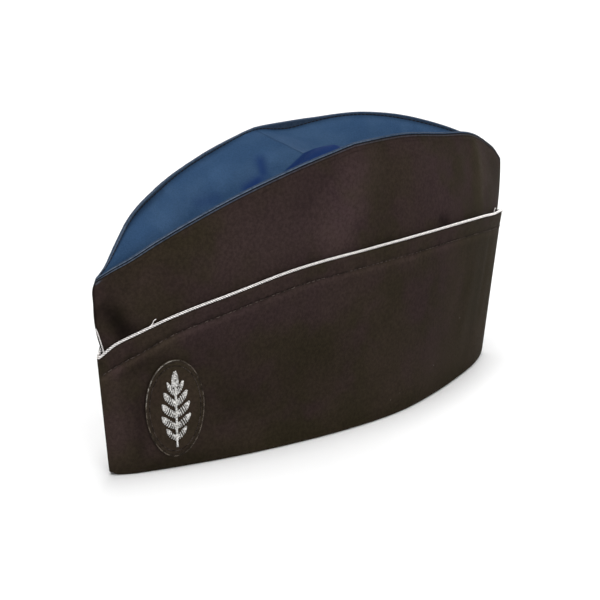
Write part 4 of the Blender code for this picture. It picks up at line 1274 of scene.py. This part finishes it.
def makeEmblem():
    paths, outwards = [], []

    def addThread(start, end, outward):
        paths.append(np.array((start, mix(start, end, 0.5), end)))
        outwards.append(outward)

    for root, tip, reach in emblem["leaves"]:
        for mirror in (-1, 1):
            lower, upper = leafThreads(root, tip, reach, mirror)
            starts, normals = emblemAt(*lower, emblem["lift"])
            for start, end, normal in zip(starts, emblemAt(*upper, emblem["lift"])[0], normals):
                addThread(start, end, normal)
    lowest, highest, count, swell, least = emblem["bud"]
    for level in np.linspace(lowest, highest, count):
        half = swell * math.sin(math.pi * min(1, (1 - level) / emblem["budLength"])) ** 0.8 + least
        levels = level + np.array((-1, 1)) * emblem["budSlant"]
        ends, normals = emblemAt((-half, half), levels, emblem["budLift"])
        addThread(*ends, normals[0])
    growOnPath("emblemLeaves", "satin", paths, outwards, emblem["threads"], "silverThread",
               "badge_emblem")
    levels = np.linspace(0.0, emblem["stemTop"], emblem["stemPoints"])
    stem, outward = emblemAt(levels * 0, levels, emblem["stemLift"])
    growOnPath("emblemStem", "cord", [stem], [outward], emblem["stemCord"], "silverThread")


makeEmblem()

# Short lines of points in metres, and the cord that follows them.
strays = {
    # The loose strands at the cord's end, up the front seam.
    "cordEnds": ((
        ((-0.1441, -0.0012, 0.0602), (-0.1452, -0.0013, 0.0637), (-0.1463, -0.0012, 0.0671),
         (-0.1473, -0.0010, 0.0702), (-0.1482, -0.0007, 0.0728)),
    ), {"Strands": 2, "Lay": 0.0019, "Offset": 0.00019, "Strand Radius": 0.00017, "Point Spacing": 0.0003,
        "Sides": 6}),
    # Frayed threads of the cord.
    "cordStrays": ((
        ((-0.1275, -0.0135, 0.0712), (-0.1271, -0.0145, 0.0722), (-0.1261, -0.0149, 0.0734),
         (-0.1253, -0.0149, 0.0746), (-0.1239, -0.0149, 0.0750)),
        ((0.1214, -0.0163, 0.0838), (0.1211, -0.0168, 0.0852), (0.1216, -0.0169, 0.0862),
         (0.1223, -0.0167, 0.0855)),
    ), {"Strands": 1, "Lay": 0.0050, "Offset": 0.0, "Strand Radius": 0.00018, "Point Spacing": 0.0004,
        "Sides": 6}),
}


def makeStrays():
    fine = np.linspace(0, 1, 24)
    for name, (lines, settings) in strays.items():
        paths = []
        for line in lines:
            t = np.linspace(0, 1, len(line))
            paths.append(np.stack([smoothCurve(t, values, fine) for values in np.array(line).T], axis=1))
        outwards = [(0, 0, 1)] * len(paths)
        growOnPath(name, "cord", paths, outwards, settings, "silverCord")


makeStrays()

studio = {
    "sky": 0.0, "horizon": 1.0, "skyline": (0.12, 0.45),
    "floorTone": 0.93, "floorHalf": 30.0, "floorLevel": -0.0002,
    # Lamps: azimuth and elevation from the cap and width seen from it in degrees, strength.
    "lamps": ((-75, 75, 30, 0.93), (-75, 45, 30, 0.32), (-46, 45, 30, 0.80), (-15, 15, 30, 1.30),
              (60, 45, 30, 0.49), (120, 75, 30, 1.10), (120, 15, 30, 1.78)),
}
# The camera turns round the target; focal length and picture width are in pixels.
view = {"azimuth": -46.55, "elevation": 15.5, "distance": 1.100, "target": (-0.012285, 0.0, 0.05882),
        "focal": 2199.7, "picture": 600, "sensor": 36.0, "nearClip": 0.01, "farClip": 50.0}


def directionOf(azimuth, elevation):
    a, e = math.radians(azimuth), math.radians(elevation)
    return Vector((math.sin(a) * math.cos(e), -math.cos(a) * math.cos(e), math.sin(e)))


def aimAt(thing, spot, target):
    thing.location = spot
    thing.rotation_euler = (spot - Vector(target)).to_track_quat("Z", "Y").to_euler()


def makeStudio():
    scene = bpy.context.scene
    scene.view_settings.view_transform = "Standard"
    scene.world = bpy.data.worlds.new("paleRoom")
    scene.world.use_nodes = True
    bench = Bench(scene.world.node_tree)
    height = bench.node("ShaderNodeSeparateXYZ", {0: bench.node("ShaderNodeTexCoord")}, "Z")
    strength = bench.range(height, *studio["skyline"], studio["horizon"], studio["sky"])
    glow = bench.node("ShaderNodeBackground", {"Color": (1, 1, 1, 1), "Strength": strength})
    bench.node("ShaderNodeOutputWorld", {"Surface": glow}, None)
    half, level = studio["floorHalf"], studio["floorLevel"]
    corners = [(across * half, along * half, level) for across, along in ((-1, -1), (1, -1), (1, 1), (-1, 1))]
    mesh = bpy.data.meshes.new("floor")
    mesh.from_pydata(corners, [], [(0, 1, 2, 3)])
    paper = {"Base Color": (studio["floorTone"],) * 3 + (1,), "Roughness": 0.9, "Specular IOR Level": 0.0}
    mesh.materials.append(newFinish("floorPaper", paper)[0])
    addObject("floor", mesh)
    for index, (azimuth, elevation, width, strength) in enumerate(studio["lamps"]):
        light = bpy.data.lights.new("lamp%d" % index, "SUN")
        light.energy = strength
        light.angle = math.radians(width)
        aimAt(addObject(light.name, light), directionOf(azimuth, elevation), (0, 0, 0))
    camera = bpy.data.cameras.new("camera")
    camera.sensor_width = view["sensor"]
    camera.lens = view["focal"] * view["sensor"] / view["picture"]
    camera.clip_start, camera.clip_end = view["nearClip"], view["farClip"]
    scene.camera = addObject("camera", camera)
    away = directionOf(view["azimuth"], view["elevation"]) * view["distance"]
    aimAt(scene.camera, Vector(view["target"]) + away, view["target"])


makeStudio()
print("studio ready")
